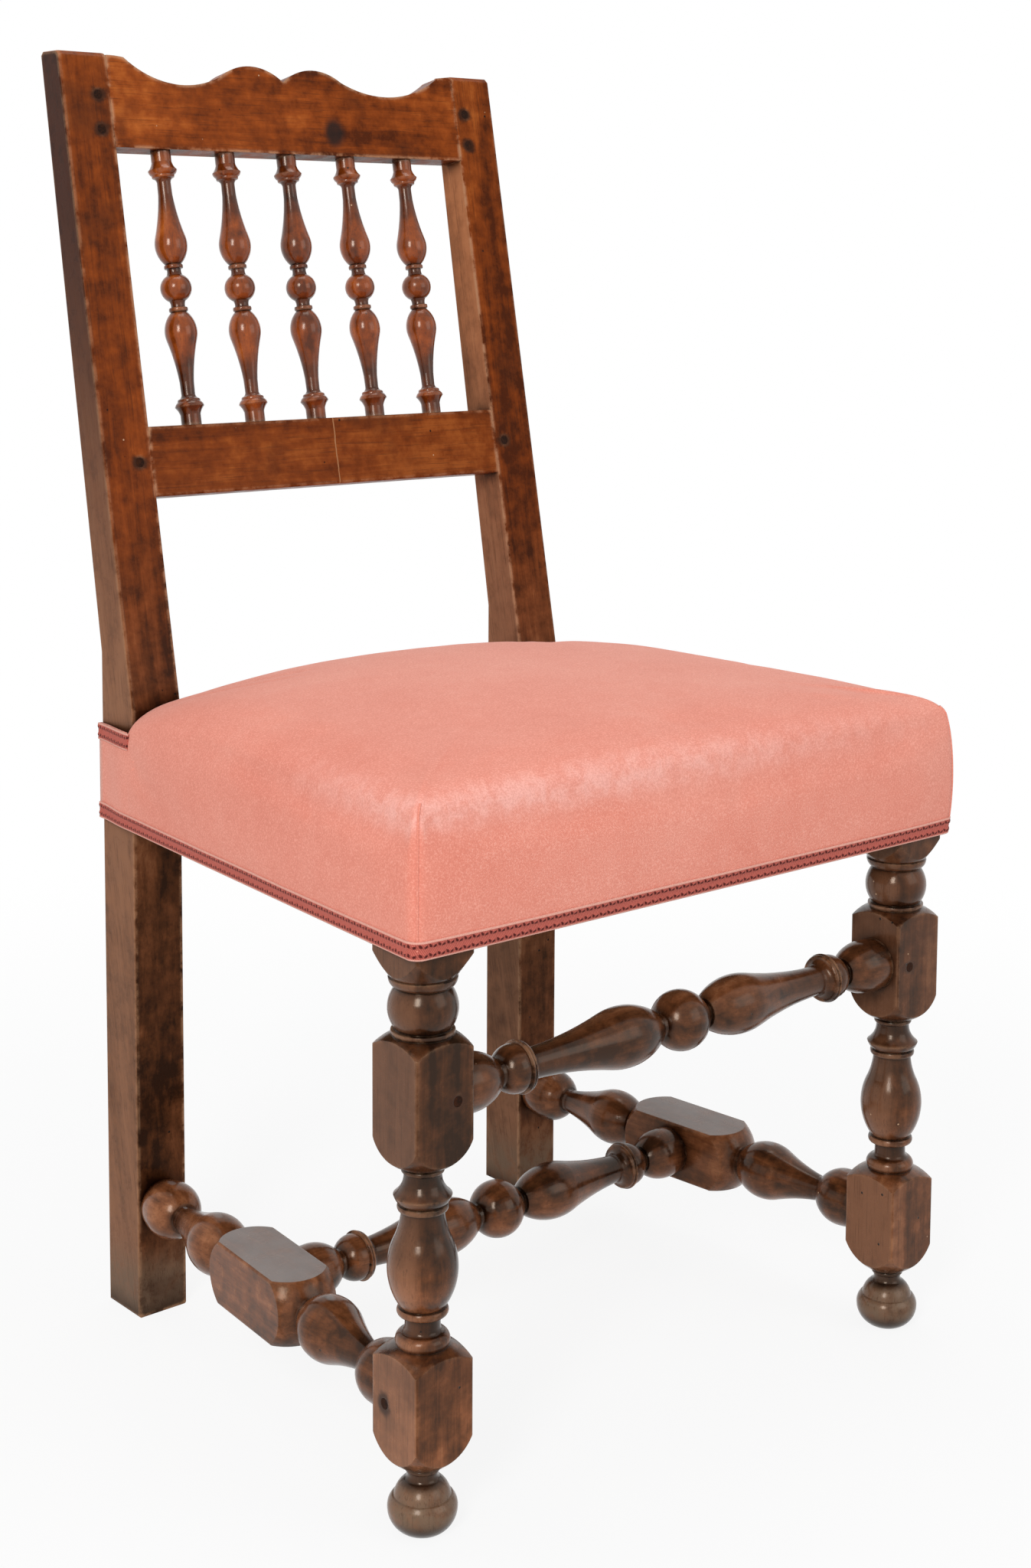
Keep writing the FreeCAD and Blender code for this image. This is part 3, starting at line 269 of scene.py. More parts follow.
def walnut(node, grain, seed, dust_and_sheen=0.0, knot=None, crack=None, left_light_tones=None, light=(1.0, 1.0),
           gloss=0.04, pegs=(), slim=None):
    """Waxed old walnut for a node: grain along a direction, hollows dark with old wax and painted shade,
    worn arrises.

    Dust lies on flat tops, with a painted sheen. Knot, crack and pegs are places. Left light tones are
    painted light and shade on the faces towards -X, light is painted light and shade for the low and the
    high wood, and gloss is the weight of the wax. Slim is the axis of a turned piece, with the radii of its
    necks, darkened with painted shade and old wax, its bellies and its square blocks.
    """
    shade = Shade("walnut_" + node)
    place = shade.place()
    sideways, _, upward = shade.axes(shade.add("NewGeometry").outputs["Normal"])
    x, _, height = shade.axes(place)
    wear, (smooth, dull), shine = TURNED_FINISH if slim else FLAT_FINISH
    figure, fibre, mottle, blotch = wood_noise(shade, place, grain, seed)
    tone = shade.span(figure, 0.40, 0.61, smooth=False)
    warmth = shade.span(height, *DARK_TO_WARM_Z)
    colour = shade.mix(warmth, shade.ramp(tone, DARK), shade.ramp(tone, WARM))
    # Painted light and shade: the faces towards -X get low and high tones of their own
    if left_light_tones:
        colour = left_face_light(shade, colour, figure, height, sideways, left_light_tones)
    # Painted light and shade: each piece's wood brighter or darker, the legs bright low and dark high under
    # the seat
    level = shade.span(height, *LEG_STEP_Z, *light)
    colour = shade.add("VectorMath", {0: colour, "Scale": level}, operation="SCALE").outputs[0]
    foot = shade.times(cut_mask(shade, height, *FOOT_Z), shade.span(mottle, 0.3, 0.6, 0.3, 0.9))
    colour = shade.mix(foot, colour, DUSTY_FOOT)
    pores = cut_mask(shade, fibre, 0.36, 0.43)
    colour = shade.mix(shade.times(pores, 0.35), colour, STAIN)
    colour = shade.mix(shade.span(blotch, 0.53, 0.74, 0.0, 0.48), colour, STAIN)
    if knot:
        near = spot_mask(shade, place, knot, KNOT_RADIUS, (1.0, 1.0, 0.8), blotch)
        colour = shade.mix(shade.times(near, 0.9), colour, BLACK_KNOT)
    if crack:
        bent = shade.plus(x, shade.times(mottle, 2.5 * MM))
        off = shade.math("ABSOLUTE", shade.less(bent, crack))
        colour = shade.mix(cut_mask(shade, off, 0.3 * MM, 0.8 * MM), colour, PALE_CRACK)
    # Painted shade with the dark of old wax: darker where the ambient occlusion finds hollows and joints
    hollow_shade = shade.add("AmbientOcclusion", {"Distance": 22 * MM}, samples=8).outputs["AO"]
    colour = shade.mix(shade.span(hollow_shade, 0.38, 0.96, 0.95, 0.0), colour, HOLLOW_SHADE_AND_WAX, "MULTIPLY")
    if slim:
        axis, (narrow, wide, block) = slim
        radius = turned_radius(shade, place, node, axis)
        # Painted shade with old wax: a turning's thin necks darker than its bellies
        colour = shade.mix(shade.span(radius, narrow, wide, 0.72, 0.0), colour, HOLLOW_SHADE_AND_WAX, "MULTIPLY")
        gloss = shade.span(radius, block - 0.4 * MM, block, gloss, BLOCK_WAX)
    arris = shade.add("AmbientOcclusion", {"Distance": 4 * MM}, samples=6, inside=True, only_local=True)
    patchy = shade.span(mottle, 0.38, 0.60)
    worn = shade.times(shade.span(arris.outputs["AO"], 0.88, 0.58), patchy)
    colour = shade.mix(shade.times(worn, wear), colour, WORN_WOOD)
    for peg in pegs:
        near = spot_mask(shade, place, peg, PEG_HALO, (1.0, 1.0, 1.0), mottle)
        colour = shade.mix(shade.times(near, 0.9), colour, STAIN)
    hole, fleck = worm_marks(shade, place)
    colour = shade.mix(hole, colour, WORM_HOLE)
    colour = shade.mix(fleck, colour, PALE_FLECK)
    # Dust with a painted sheen: flat tops turned up paler and greyer
    if dust_and_sheen:
        flat_top = shade.span(upward, 0.985, 0.999)
        dust_and_sheen_share = shade.times(flat_top, shade.span(blotch, 0.30, 0.62, 0.55, 1.0))
        colour = shade.mix(shade.times(dust_and_sheen_share, dust_and_sheen), colour, DUST_AND_SHEEN)
    relief = shade.plus(shade.times(fibre, 0.3), shade.times(blotch, 1.2))
    relief = shade.plus(relief, shade.times(mottle, 0.5))
    relief = shade.less(relief, shade.times(hole, 1.5))
    soft_edge = shade.add("Bevel", {"Radius": 1.2 * MM}, samples=4).outputs[0]
    bump = shade.add("Bump", {"Height": relief, "Strength": 0.3, "Distance": 0.8 * MM, "Normal": soft_edge})
    rough = shade.span(shade.plus(mottle, shade.times(worn, 0.3)), 0.35, 0.75, smooth, dull)
    wax = {"Coat Weight": gloss, "Coat Roughness": 0.17, "Specular IOR Level": shine,
           "Specular Tint": (1.0, 0.70, 0.46, 1.0)}
    return shade.finish(colour, rough, bump, wax)


def end_grain(name):
    """The dark end of a draw peg."""
    shade = Shade(name)
    place = shade.place()
    speck = shade.noise(place, 700.0, 4.0, 0.7)
    stain = shade.noise(place, 90.0, 2.0)
    colour = shade.ramp(speck, ((0.35, (0.008, 0.004, 0.002)), (0.6, (0.028, 0.009, 0.004)),
                                (0.8, (0.075, 0.024, 0.009))))
    colour = shade.mix(shade.span(stain, 0.45, 0.65, 0.0, 0.4), colour, (0.06, 0.019, 0.007))
    bump = shade.add("Bump", {"Height": speck, "Strength": 0.4, "Distance": 0.6 * MM})
    return shade.finish(colour, shade.span(stain, 0.3, 0.7, 0.45, 0.65), bump, {"Specular IOR Level": 0.06})


def raw_wood(name, grain, seed):
    """Unfinished, dusty wood of the hidden seat rails."""
    shade = Shade(name)
    place = shade.place()
    turned = shade.add("Mapping", {"Vector": place, "Location": (seed, seed * 0.6, 0.0),
                                   "Rotation": grain}).outputs[0]
    streak = shade.noise(shade.vector("MULTIPLY", turned, (120.0, 120.0, 5.0)), 1.0, 5.0, 0.6, 0.4)
    stain = shade.noise(place, 14.0, 3.0)
    colour = shade.ramp(streak, ((0.3, (0.16, 0.09, 0.045)), (0.7, (0.33, 0.20, 0.11))))
    colour = shade.mix(shade.span(stain, 0.45, 0.7, 0.0, 0.6), colour, (0.11, 0.065, 0.035))
    bump = shade.add("Bump", {"Height": streak, "Strength": 0.5, "Distance": 0.8 * MM})
    return shade.finish(colour, shade.span(streak, 0.3, 0.7, 0.65, 0.85), bump)


def islands(mesh):
    """The points of each separate part of a mesh."""
    root = list(range(len(mesh.vertices)))

    def find(index):
        while root[index] != index:
            root[index] = root[root[index]]
            index = root[index]
        return index

    for edge in mesh.edges:
        root[find(edge.vertices[0])] = find(edge.vertices[1])
    groups = {}
    for vertex in mesh.vertices:
        groups.setdefault(find(vertex.index), []).append(vertex.co)
    return list(groups.values())


def peg_ends(node, side):
    """The middle of both ends of each peg of a node, on one side of the chair."""
    ends = []
    for peg in islands(NODES[node].data):
        if peg[0].x * side > 0:
            lows, highs = ([pick(values) for values in zip(*peg)] for pick in (min, max))
            axis = max(range(3), key=lambda number: highs[number] - lows[number])
            for limit in (lows[axis], highs[axis]):
                face = [spot for spot in peg if abs(spot[axis] - limit) < PEG_END_DEPTH]
                ends.append(tuple(sum(face, Vector()) / len(face)))
    return ends


# Radii of turned pieces: of the necks, darkened with painted shade and old wax, of the bellies and of the
# blocks
ROD_RADII = (9 * MM, 16 * MM, 30 * MM)
BLOCK_ROD_RADII = (9 * MM, 16 * MM, 23 * MM)
LEG_RADII = (12 * MM, 17 * MM, 23.9 * MM)
SPINDLE_RADII = (5.5 * MM, 10 * MM, 20 * MM)
SPINDLES = 5
WAX = 0.25
# Tones of the faces towards -X: painted light, and painted shade with grey patina on the left post's outer
# face
SIDE_LIT_BROWN = (0.27, 0.125, 0.066)
SIDE_LIT_UMBER = (0.20, 0.085, 0.043)
SIDE_SHADE_GREY_PATINA = (0.016, 0.012, 0.011)
SIDE_LIT_ORANGE = (0.46, 0.185, 0.080)
KNOT_PLACE = (0.040, 0.2345, 0.945)
CRACK_X = 4.2 * MM


def dress_woods():
    """Give every wooden node its own grain."""
    upward = Vector((0.0, 0.0, 1.0))
    leaning = Vector((0.0, math.sin(RAKE), math.cos(RAKE)))
    across = Vector((1.0, 0.0, 0.0))
    dressed = {
        "crest_rail": (ACROSS, {"knot": KNOT_PLACE, "light": (1.15, 1.15)}),
        "lower_back_rail": (ACROSS, {"crack": CRACK_X, "light": (0.82, 0.82)}),
        "front_stretcher": (ACROSS, {"gloss": WAX, "slim": (across, ROD_RADII)}),
        "medial_stretcher": (ACROSS, {"gloss": WAX, "slim": (across, ROD_RADII), "light": (1.45, 1.45)}),
    }
    # The posts' and legs' faces towards -X take painted light and shade; low_light brightens the legs' low
    # wood
    for side, word, inner, low_light in ((-1, "left", SIDE_SHADE_GREY_PATINA, 1.6), (1, "right", SIDE_LIT_ORANGE, 1.1)):
        back_pegs = peg_ends("crest_pegs", side) + peg_ends("lower_rail_pegs", side)
        leg_pegs = peg_ends("stretcher_pegs", side)
        run = Vector((side * (REAR_HALF - FRONT_HALF), REAR_Y - LEG_LOW.y, 0.0))
        leg = {"left_light_tones": (SIDE_LIT_UMBER, SIDE_LIT_UMBER), "light": (low_light, 0.70), "gloss": WAX, "pegs": leg_pegs,
               "slim": (upward, LEG_RADII)}
        rod = {"dust_and_sheen": 0.85, "gloss": WAX, "light": (1.35, 1.35), "slim": (run, BLOCK_ROD_RADII)}
        dressed["rear_post_" + word] = (LEANING, {"left_light_tones": (SIDE_LIT_BROWN, inner), "pegs": back_pegs})
        dressed["front_leg_" + word] = (UPRIGHT, leg)
        dressed["side_stretcher_" + word] = (FORE_AND_AFT, rod)
    spindle = {"gloss": 2 * WAX, "light": (1.25, 1.25), "slim": (leaning, SPINDLE_RADII)}
    for number in range(1, SPINDLES + 1):
        dressed[f"back_spindle_{number}"] = (LEANING, spindle)
    for seed, (node, (grain, extras)) in enumerate(dressed.items(), start=1):
        put_on(NODES[node], walnut(node, grain, seed, **extras))
    pegs = end_grain("peg_end_grain")
    for node in ("crest_pegs", "lower_rail_pegs", "stretcher_pegs"):
        put_on(NODES[node], pegs)
    hidden = {"seat_rail_front": ACROSS, "seat_rail_rear": ACROSS, "seat_rail_left": FORE_AND_AFT,
              "seat_rail_right": FORE_AND_AFT}
    for seed, (node, grain) in enumerate(hidden.items(), start=1):
        put_on(NODES[node], raw_wood("raw_" + node, grain, seed * 1.3))


def put_on(piece, material):
    piece.data.materials.clear()
    piece.data.materials.append(material)


# Fabrics
def velvet(name):
    """Salmon velvet with a short ribbed pile, paler along the edges with worn pile and a painted sheen."""
    shade = Shade(name)
    place = shade.place()
    pile = shade.noise(place, 1500.0, 3.0, 0.7)
    tuft = shade.noise(place, 800.0, 2.0, 0.6)
    nap = shade.noise(place, 70.0, 4.0, 0.65, 0.4)
    cloud = shade.noise(place, 9.0, 3.0, 0.55)
    x, y, z = shade.axes(place)
    slant = shade.plus(shade.plus(x, y), shade.times(z, 0.7))
    ribs = shade.math("SINE", shade.times(slant, 2 * math.pi / (1.5 * MM)))
    worn_and_sheen = shade.add("Attribute", attribute_name="worn_and_sheen").outputs["Fac"]
    tone = shade.plus(shade.times(cloud, 0.65), shade.times(nap, 0.35))
    colour = shade.ramp(tone, ((0.34, (0.78, 0.255, 0.180)), (0.50, (0.82, 0.290, 0.210)),
                               (0.68, (0.85, 0.335, 0.250))))
    # Worn pile and painted sheen: paler along the front and left edges
    pale = shade.times(worn_and_sheen, shade.span(nap, 0.32, 0.66, 0.30, 0.95))
    colour = shade.mix(pale, colour, (0.93, 0.475, 0.405))
    colour = shade.mix(shade.span(pile, 0.38, 0.70, 0.0, 0.20), colour, (0.52, 0.14, 0.095))
    colour = shade.mix(shade.span(tuft, 0.38, 0.66, 0.0, 0.26), colour, (0.52, 0.14, 0.10))
    colour = shade.mix(shade.span(tuft, 0.50, 0.32, 0.0, 0.28), colour, (0.95, 0.52, 0.43))
    height = shade.plus(pile, shade.times(ribs, 0.18))
    bump = shade.add("Bump", {"Height": height, "Strength": 0.3, "Distance": 0.4 * MM})
    sheen = {"Sheen Weight": 0.3, "Sheen Roughness": 0.5, "Sheen Tint": (1.0, 0.74, 0.66, 1.0),
             "Specular IOR Level": 0.15}
    return shade.finish(colour, shade.span(pile, 0.3, 0.7, 0.78, 0.92), bump, sheen)


# Braid weave: where its two lines run, as shares of its width, with their zigzags in a width and their swing
BRAID_LINES = (0.25, 0.74)
BRAID_TURNS = 1.85
BRAID_SWING = 0.10


def gimp(name):
    """Woven gimp: rose ground, two dotted maroon lines and pale edges; UV is along and across the strip."""
    shade = Shade(name)
    along, across, _ = shade.axes(shade.add("UVMap", uv_map="weave"))
    zigzag = shade.math("PINGPONG", shade.times(along, BRAID_TURNS), 0.5)
    swing = shade.times(shade.less(zigzag, 0.25), 2 * BRAID_SWING)
    lines = None
    for middle in BRAID_LINES:
        away = shade.math("ABSOLUTE", shade.less(shade.less(across, middle), swing))
        line = cut_mask(shade, away, 0.055, 0.10)
        lines = line if lines is None else shade.math("MAXIMUM", lines, line)
    beat = shade.math("SINE", shade.times(along, BRAID_TURNS * 4 * math.pi))
    dots = shade.span(beat, -0.8, 0.5, 0.25, 1.0)
    edge = shade.span(shade.math("ABSOLUTE", shade.less(across, 0.5)), 0.38, 0.43)
    slant = shade.plus(along, shade.times(across, 0.6))
    thread = shade.math("SINE", shade.times(slant, 60.0))
    fuzz = shade.noise(shade.place(), 1100.0, 3.0, 0.7)
    colour = shade.ramp(shade.span(thread, -1.0, 1.0),
                        ((0.0, (0.42, 0.084, 0.062)), (1.0, (0.58, 0.150, 0.112))))
    colour = shade.mix(shade.times(lines, dots), colour, (0.062, 0.005, 0.004))
    colour = shade.mix(edge, colour, (0.78, 0.40, 0.32))
    colour = shade.mix(shade.span(fuzz, 0.40, 0.70, 0.0, 0.25), colour, (0.30, 0.07, 0.06))
    height = shade.plus(shade.times(thread, 0.5), fuzz)
    bump = shade.add("Bump", {"Height": height, "Strength": 0.4, "Distance": 0.25 * MM})
    sheen = {"Sheen Weight": 0.10, "Sheen Roughness": 0.4, "Sheen Tint": (1.0, 0.62, 0.55, 1.0),
             "Specular IOR Level": 0.15}
    return shade.finish(colour, shade.span(fuzz, 0.3, 0.7, 0.6, 0.85), bump, sheen)


def woven(name, dark, light, pitch):
    """A plain jute weave over two crossing sets of threads."""
    shade = Shade(name)
    place = shade.place()
    x, y, _ = shade.axes(place)
    turns = 2 * math.pi / pitch
    warp = shade.math("SINE", shade.times(x, turns))
    weft = shade.math("SINE", shade.times(y, turns))
    hair = shade.noise(place, 900.0, 4.0, 0.7)
    stain = shade.noise(place, 18.0, 3.0)
    height = shade.plus(shade.times(shade.times(warp, weft), 0.5), hair)
    colour = shade.ramp(shade.span(height, -0.2, 1.2), ((0.2, dark), (0.8, light)))
    colour = shade.mix(shade.span(stain, 0.45, 0.7, 0.0, 0.45), colour, dark)
    bump = shade.add("Bump", {"Height": height, "Strength": 0.6, "Distance": 0.5 * MM})
    return shade.finish(colour, shade.span(hair, 0.3, 0.7, 0.8, 0.95), bump)


# Meshes
def add_object(name, data):
    made = bpy.data.objects.new(name, data)
    bpy.context.scene.collection.objects.link(made)
    return made


def new_piece(name, points, faces, material, smooth=True):
    mesh = bpy.data.meshes.new(name)
    mesh.from_pydata([tuple(point) for point in points], [], faces)
    mesh.polygons.foreach_set("use_smooth", [smooth] * len(mesh.polygons))
    mesh.materials.append(material)
    mesh.update()
    return add_object(name, mesh)


def quads(rows, columns, closed=True, flipped=False):
    """Faces between rows of as many points each, whose ends meet where they are closed."""
    faces = []
    for start in range(0, (rows - 1) * columns, columns):
        for column in range(columns if closed else columns - 1):
            low = start + column
            after = start + (column + 1) % columns
            face = (low, after, after + columns, low + columns)
            faces.append(face[:1] + face[:0:-1] if flipped else face)
    return faces


# Seat mesh: steps along its outline, rings up its walls and shoulder, and shares of its smaller rings
OUTLINE_STEP = 6.5 * MM
CORNER_STEP = 1.6 * MM
WALL_LEVELS = 14
SHOULDER_LEVELS = 8
SHOULDER_SHARE = 0.1
TOP_SHARES = np.linspace(0.96, 0.03, 24)
FLOOR_SHARES = (0.85, 0.5, 0.25, 0.12, 0.05)
FIRST_CROWDED = 0.55
NOTCH_DIP = 1 * MM
SEAT_MIDDLE = Vector((0.0, (FRONT_Y + REAR_Y) / 2 - 10 * MM))


def half_width(y):
    """Half the seat's width at a distance along the chair, at its hem."""
    share = (y - LEG_LOW.y) / (REAR_Y - LEG_LOW.y)
    return FRONT_HALF + (REAR_HALF - FRONT_HALF) * share


def swell(share):
    """How far a side stands out beyond its hem at a share of its height."""
    return SIDE_SWELL * 4 * share * (1 - share)


def line_between(start, end):
    """Points at even steps from a start up to, and without, an end."""
    count = max(2, round((end - start).length / OUTLINE_STEP))
    return [start.lerp(end, number / count) for number in range(count)]


def seat_outline():
    """The seat's hem in plan, counter-clockwise from the middle of the front, as (point, part) pairs."""
    side_front = FRONT_Y + CORNER_RADIUS
    front_half = half_width(side_front)
    corner = Vector((front_half - CORNER_RADIUS, side_front))
    turns = round(CORNER_RADIUS * math.pi / 2 / CORNER_STEP)
    angles = [math.pi / 2 * number / turns for number in range(turns)]
    bend = [corner + Vector((math.sin(angle), -math.cos(angle))) * CORNER_RADIUS for angle in angles]
    notch_start = Vector((half_width(NOTCH_Y), NOTCH_Y))
    notch_corner = Vector((NOTCH_X, NOTCH_Y))
    notch_end = Vector((NOTCH_X, REAR_Y))
    rear_middle = Vector((0, REAR_Y))
    runs = (("front", line_between(Vector((0, FRONT_Y)), Vector((corner.x, FRONT_Y)))),
            ("corner", bend),
            ("side", line_between(Vector((front_half, side_front)), notch_start)),
            ("notch", line_between(notch_start, notch_corner) + line_between(notch_corner, notch_end)),
            ("rear", line_between(notch_end, rear_middle) + [rear_middle]))
    half = [(point, part) for part, run in runs for point in run]
    other = [(Vector((-point.x, point.y)), part) for point, part in half[-2:0:-1]]
    return half + other


def inward_normals(points):
    """The plan direction into the seat at each point of a closed outline."""
    found = []
    for index in range(len(points)):
        along = (points[(index + 1) % len(points)] - points[index - 1]).normalized()
        found.append(Vector((-along.y, along.x)))
    return found


def nearness(inward, reach):
    """1 at an edge, falling to 0 at a reach inward of it."""
    return 1 - min(1.0, max(0.0, inward) / reach)


def quarter_round(near):
    """The fall of a round edge, from 0 where it begins to 1 at the edge itself."""
    return 1 - math.sqrt(max(0.0, 1 - near * near))


def edge_nearness(x, y):
    """How close a point of the top is to the front or side edge, from 0 to 1."""
    lengthwise = (y - FRONT_Y) / (REAR_Y - FRONT_Y)
    reach = EDGE_ROUND + (EDGE_ROUND_REAR - EDGE_ROUND) * lengthwise
    side = nearness(half_width(y) - abs(x), reach)
    front = nearness(y - FRONT_Y, EDGE_ROUND)
    return min(1.0, (side ** CORNER_POWER + front ** CORNER_POWER) ** (1 / CORNER_POWER))


def top_height(x, y):
    """The crowned top of the seat, with round edges, falling away towards the rear."""
    across = min(1.0, abs(x) / half_width(y))
    lengthwise = (y - FRONT_Y) / (REAR_Y - FRONT_Y)
    swept = 1 - (1 - FRONT_CROWN) * nearness(lengthwise, CROWN_PEAK) ** 2
    height = SHOULDER_Z + CROWN * (1 - across ** CROWN_POWER) * swept
    height -= EDGE_FALL * quarter_round(edge_nearness(x, y))
    return height - REAR_FALL * quarter_round(nearness(REAR_Y - y, REAR_ROUND))


def seat_rings():
    """Rings of the seat from the edge of its underside, round skirt and walls, to the edge of its top."""
    outline = seat_outline()
    plan = [point for point, part in outline]
    parts = [part for point, part in outline]
    inward = inward_normals(plan)
    hem = [SEAT_FLOOR_Z - NOTCH_DIP if part == "notch" else HEM_Z for part in parts]
    edge = [top_height(*point) for point in plan]
    rings = []
    kinds = []

    def ring(kind, inset, height):
        rings.append([(*(point + way * inset(index)), height(index))
                      for index, (point, way) in enumerate(zip(plan, inward))])
        kinds.append(kind)

    ring("floor", lambda index: SKIN, lambda index: SEAT_FLOOR_Z)
    for share in (0.5, 1.0):
        ring("skirt", lambda index: SKIN,
             lambda index: SEAT_FLOOR_Z + (hem[index] - SEAT_FLOOR_Z) * share)
    ring("hem", lambda index: 0.0, lambda index: hem[index])
    for level in range(1, WALL_LEVELS + 1):
        share = level / WALL_LEVELS
        ring("wall", lambda index: 0.0 if parts[index] == "notch" else -swell(share),
             lambda index: hem[index] + (edge[index] - hem[index]) * share)
    for number in range(1, SHOULDER_LEVELS + 1):
        share = 1 - SHOULDER_SHARE * (1 - math.cos(math.pi / 2 * number / SHOULDER_LEVELS))
        spots = [SEAT_MIDDLE.lerp(point, share) for point in plan]
        rings.append([(*spot, top_height(*spot)) for spot in spots])
        kinds.append("shoulder")
    return rings, kinds, parts


def close_ring(points, faces, ring, shares, height, upward):
    """Close a ring with smaller ones about the seat's middle, which halve their points as they crowd."""
    current = ring
    spots = [Vector(points[index][:2]) for index in ring]
    crowded = FIRST_CROWDED
    for share in shares:
        step = 1
        if share < crowded:
            step = 2
            crowded /= 2
        spots = spots[::step]
        fresh = range(len(points), len(points) + len(spots))
        inner = [SEAT_MIDDLE.lerp(spot, share) for spot in spots]
        points += [(*spot, height(*spot)) for spot in inner]
        for number, place in enumerate(range(0, len(current), step)):
            last = min(place + step, len(current))
            face = [current[index % len(current)] for index in range(place, last + 1)]
            face += [fresh[(number + 1) % len(fresh)], fresh[number]]
            faces.append(tuple(face if upward else face[::-1]))
        current = fresh
    faces.append(tuple(current if upward else current[::-1]))


# Cover: how far and how hard the stuffing presses it, its ripples, and how loosely a corner seam holds it
CLOTH_FRAMES = 20
CLOTH_REACH = 2.5 * MM
CLOTH_PRESSURE = 2.5
CLOTH_STRETCH = 22
RIPPLE_SCALE = 16.0
FINE_RIPPLE = 3.1
SEAM_HOLD = 0.5
# Pale band of worn pile and painted sheen: its depth on the walls, its spread on the top, and how far it
# goes backwards and to the right
WEAR_SHEEN_DEPTH = 9 * MM
WEAR_SHEEN_SPREAD = 0.42
WEAR_SHEEN_BACK = 160 * MM
WEAR_SHEEN_RIGHT = 1.2 * FRONT_HALF


def puff(piece, held):
    """Let the stuffing press the cover out from where it is held, and keep the result."""
    group = piece.vertex_groups.new(name="held")
    for index, weight in enumerate(held):
        group.add([index], weight, "REPLACE")
    start = np.array([vertex.co for vertex in piece.data.vertices])
    cloth = piece.modifiers.new("press", "CLOTH")
    settings = cloth.settings
    settings.quality = 6
    settings.mass = 0.3
    settings.tension_stiffness = CLOTH_STRETCH
    settings.compression_stiffness = CLOTH_STRETCH
    settings.shear_stiffness = 12
    settings.bending_stiffness = 3
    settings.use_pressure = True
    settings.uniform_pressure_force = CLOTH_PRESSURE
    settings.vertex_group_mass = "held"
    settings.effector_weights.gravity = 0
    cloth.point_cache.frame_start = 1
    cloth.point_cache.frame_end = CLOTH_FRAMES
    for number in range(1, CLOTH_FRAMES + 1):
        bpy.context.scene.frame_set(number)
    graph = bpy.context.evaluated_depsgraph_get()
    pressed = np.array([vertex.co for vertex in piece.evaluated_get(graph).data.vertices])
    moved = pressed - start
    length = np.linalg.norm(moved, axis=1, keepdims=True)
    moved *= np.minimum(1.0, CLOTH_REACH / np.maximum(length, 1e-9))
    piece.modifiers.remove(cloth)
    bpy.context.scene.frame_set(1)
    piece.data.vertices.foreach_set("co", (start + moved).astype(np.float32).ravel())
    piece.data.update()


def soften(piece, free):
    """Small dents and ripples in the cover, where it isn't held."""
    for vertex in piece.data.vertices:
        if free[vertex.index]:
            spot = vertex.co * RIPPLE_SCALE
            ripple = noise.noise(spot) * 0.5 + noise.noise(spot * FINE_RIPPLE) * 0.2
            vertex.co += vertex.normal * ripple * MM


def hold(kind, part):
    """How firmly the cover is held at a point: by the frame, by a corner seam, or not at all."""
    if kind in ("floor", "skirt", "hem") or (part == "notch" and kind in ("wall", "shoulder")):
        return 1.0
    return SEAM_HOLD if part == "corner" and kind == "wall" else 0.0


def wear_and_sheen_at(kind, part, spot, edge_z):
    """How pale the velvet is at a point with worn pile and painted sheen, under an edge at a height or on
    the top.
    """
    x, y, z = spot
    if kind == "wall" and part != "rear":
        band = math.exp(-((edge_z - z) / WEAR_SHEEN_DEPTH) ** 2)
    elif kind in ("shoulder", "top"):
        band = math.exp(-((1 - edge_nearness(x, y)) / WEAR_SHEEN_SPREAD) ** 2)
    else:
        band = 0.0
    forward = nearness(y - FRONT_Y - EDGE_ROUND, WEAR_SHEEN_BACK)
    leftward = 1 - nearness(FRONT_HALF - x, WEAR_SHEEN_RIGHT)
    return band * forward * leftward


def make_seat(material):
    """The padded seat as one closed, crowned form, with its outline's parts and its columns of points."""
    rings, kinds, parts = seat_rings()
    columns = len(parts)
    points = [point for ring in rings for point in ring]
    wall_count = len(points)
    faces = quads(len(rings), columns)
    rim = range(wall_count - columns, wall_count)
    close_ring(points, faces, rim, TOP_SHARES, top_height, True)
    top_count = len(points)
    close_ring(points, faces, range(columns), FLOOR_SHARES, lambda x, y: SEAT_FLOOR_Z, False)
    seat = new_piece("seat_cushion", points, faces, material)
    edge = rings[kinds.index("shoulder") - 1]
    held = []
    worn_and_sheen = []
    for index, spot in enumerate(points):
        if index < wall_count:
            kind = kinds[index // columns]
            part = parts[index % columns]
        else:
            kind = "top" if index < top_count else "floor"
            part = ""
        held.append(hold(kind, part))
        worn_and_sheen.append(wear_and_sheen_at(kind, part, spot, edge[index % columns][2]))
    puff(seat, held)
    soften(seat, [weight == 0.0 for weight in held])
    # Paleness of worn pile and painted sheen, for the velvet
    layer = seat.data.attributes.new("worn_and_sheen", "FLOAT", "POINT")
    layer.data.foreach_set("value", worn_and_sheen)
    finer = seat.modifiers.new("finer", "SUBSURF")
    finer.levels = 1
    finer.render_levels = 1
    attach(seat, "root")
    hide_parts("seat_cover", "seat_stuffing")
    walls = seat_columns(seat, kinds, columns, ("hem", "wall"))
    return parts, walls, seat_columns(seat, kinds, columns, ("wall", "shoulder"))


def seat_columns(seat, kinds, columns, wanted):
    """The places of each column of the seat's mesh on rings of some kinds, from low to high."""
    levels = [level for level, kind in enumerate(kinds) if kind in wanted]
    return [[seat.data.vertices[level * columns + column].co.copy() for level in levels]
            for column in range(columns)]


# Braid: its relief and its mesh
BRAID_DEPTH = 1.5 * MM
BRAID_PROUD = 0.2 * MM
BRAID_SUNK = 0.3 * MM
BRAID_STEP = 1.1 * MM
BRAID_ROWS = 16
BRAID_EDGES = (0.07, 0.93)


def ridge(across, middle, width):
    """A round ridge along the braid, 1 at its middle."""
    return math.exp(-((across - middle) / width) ** 2)


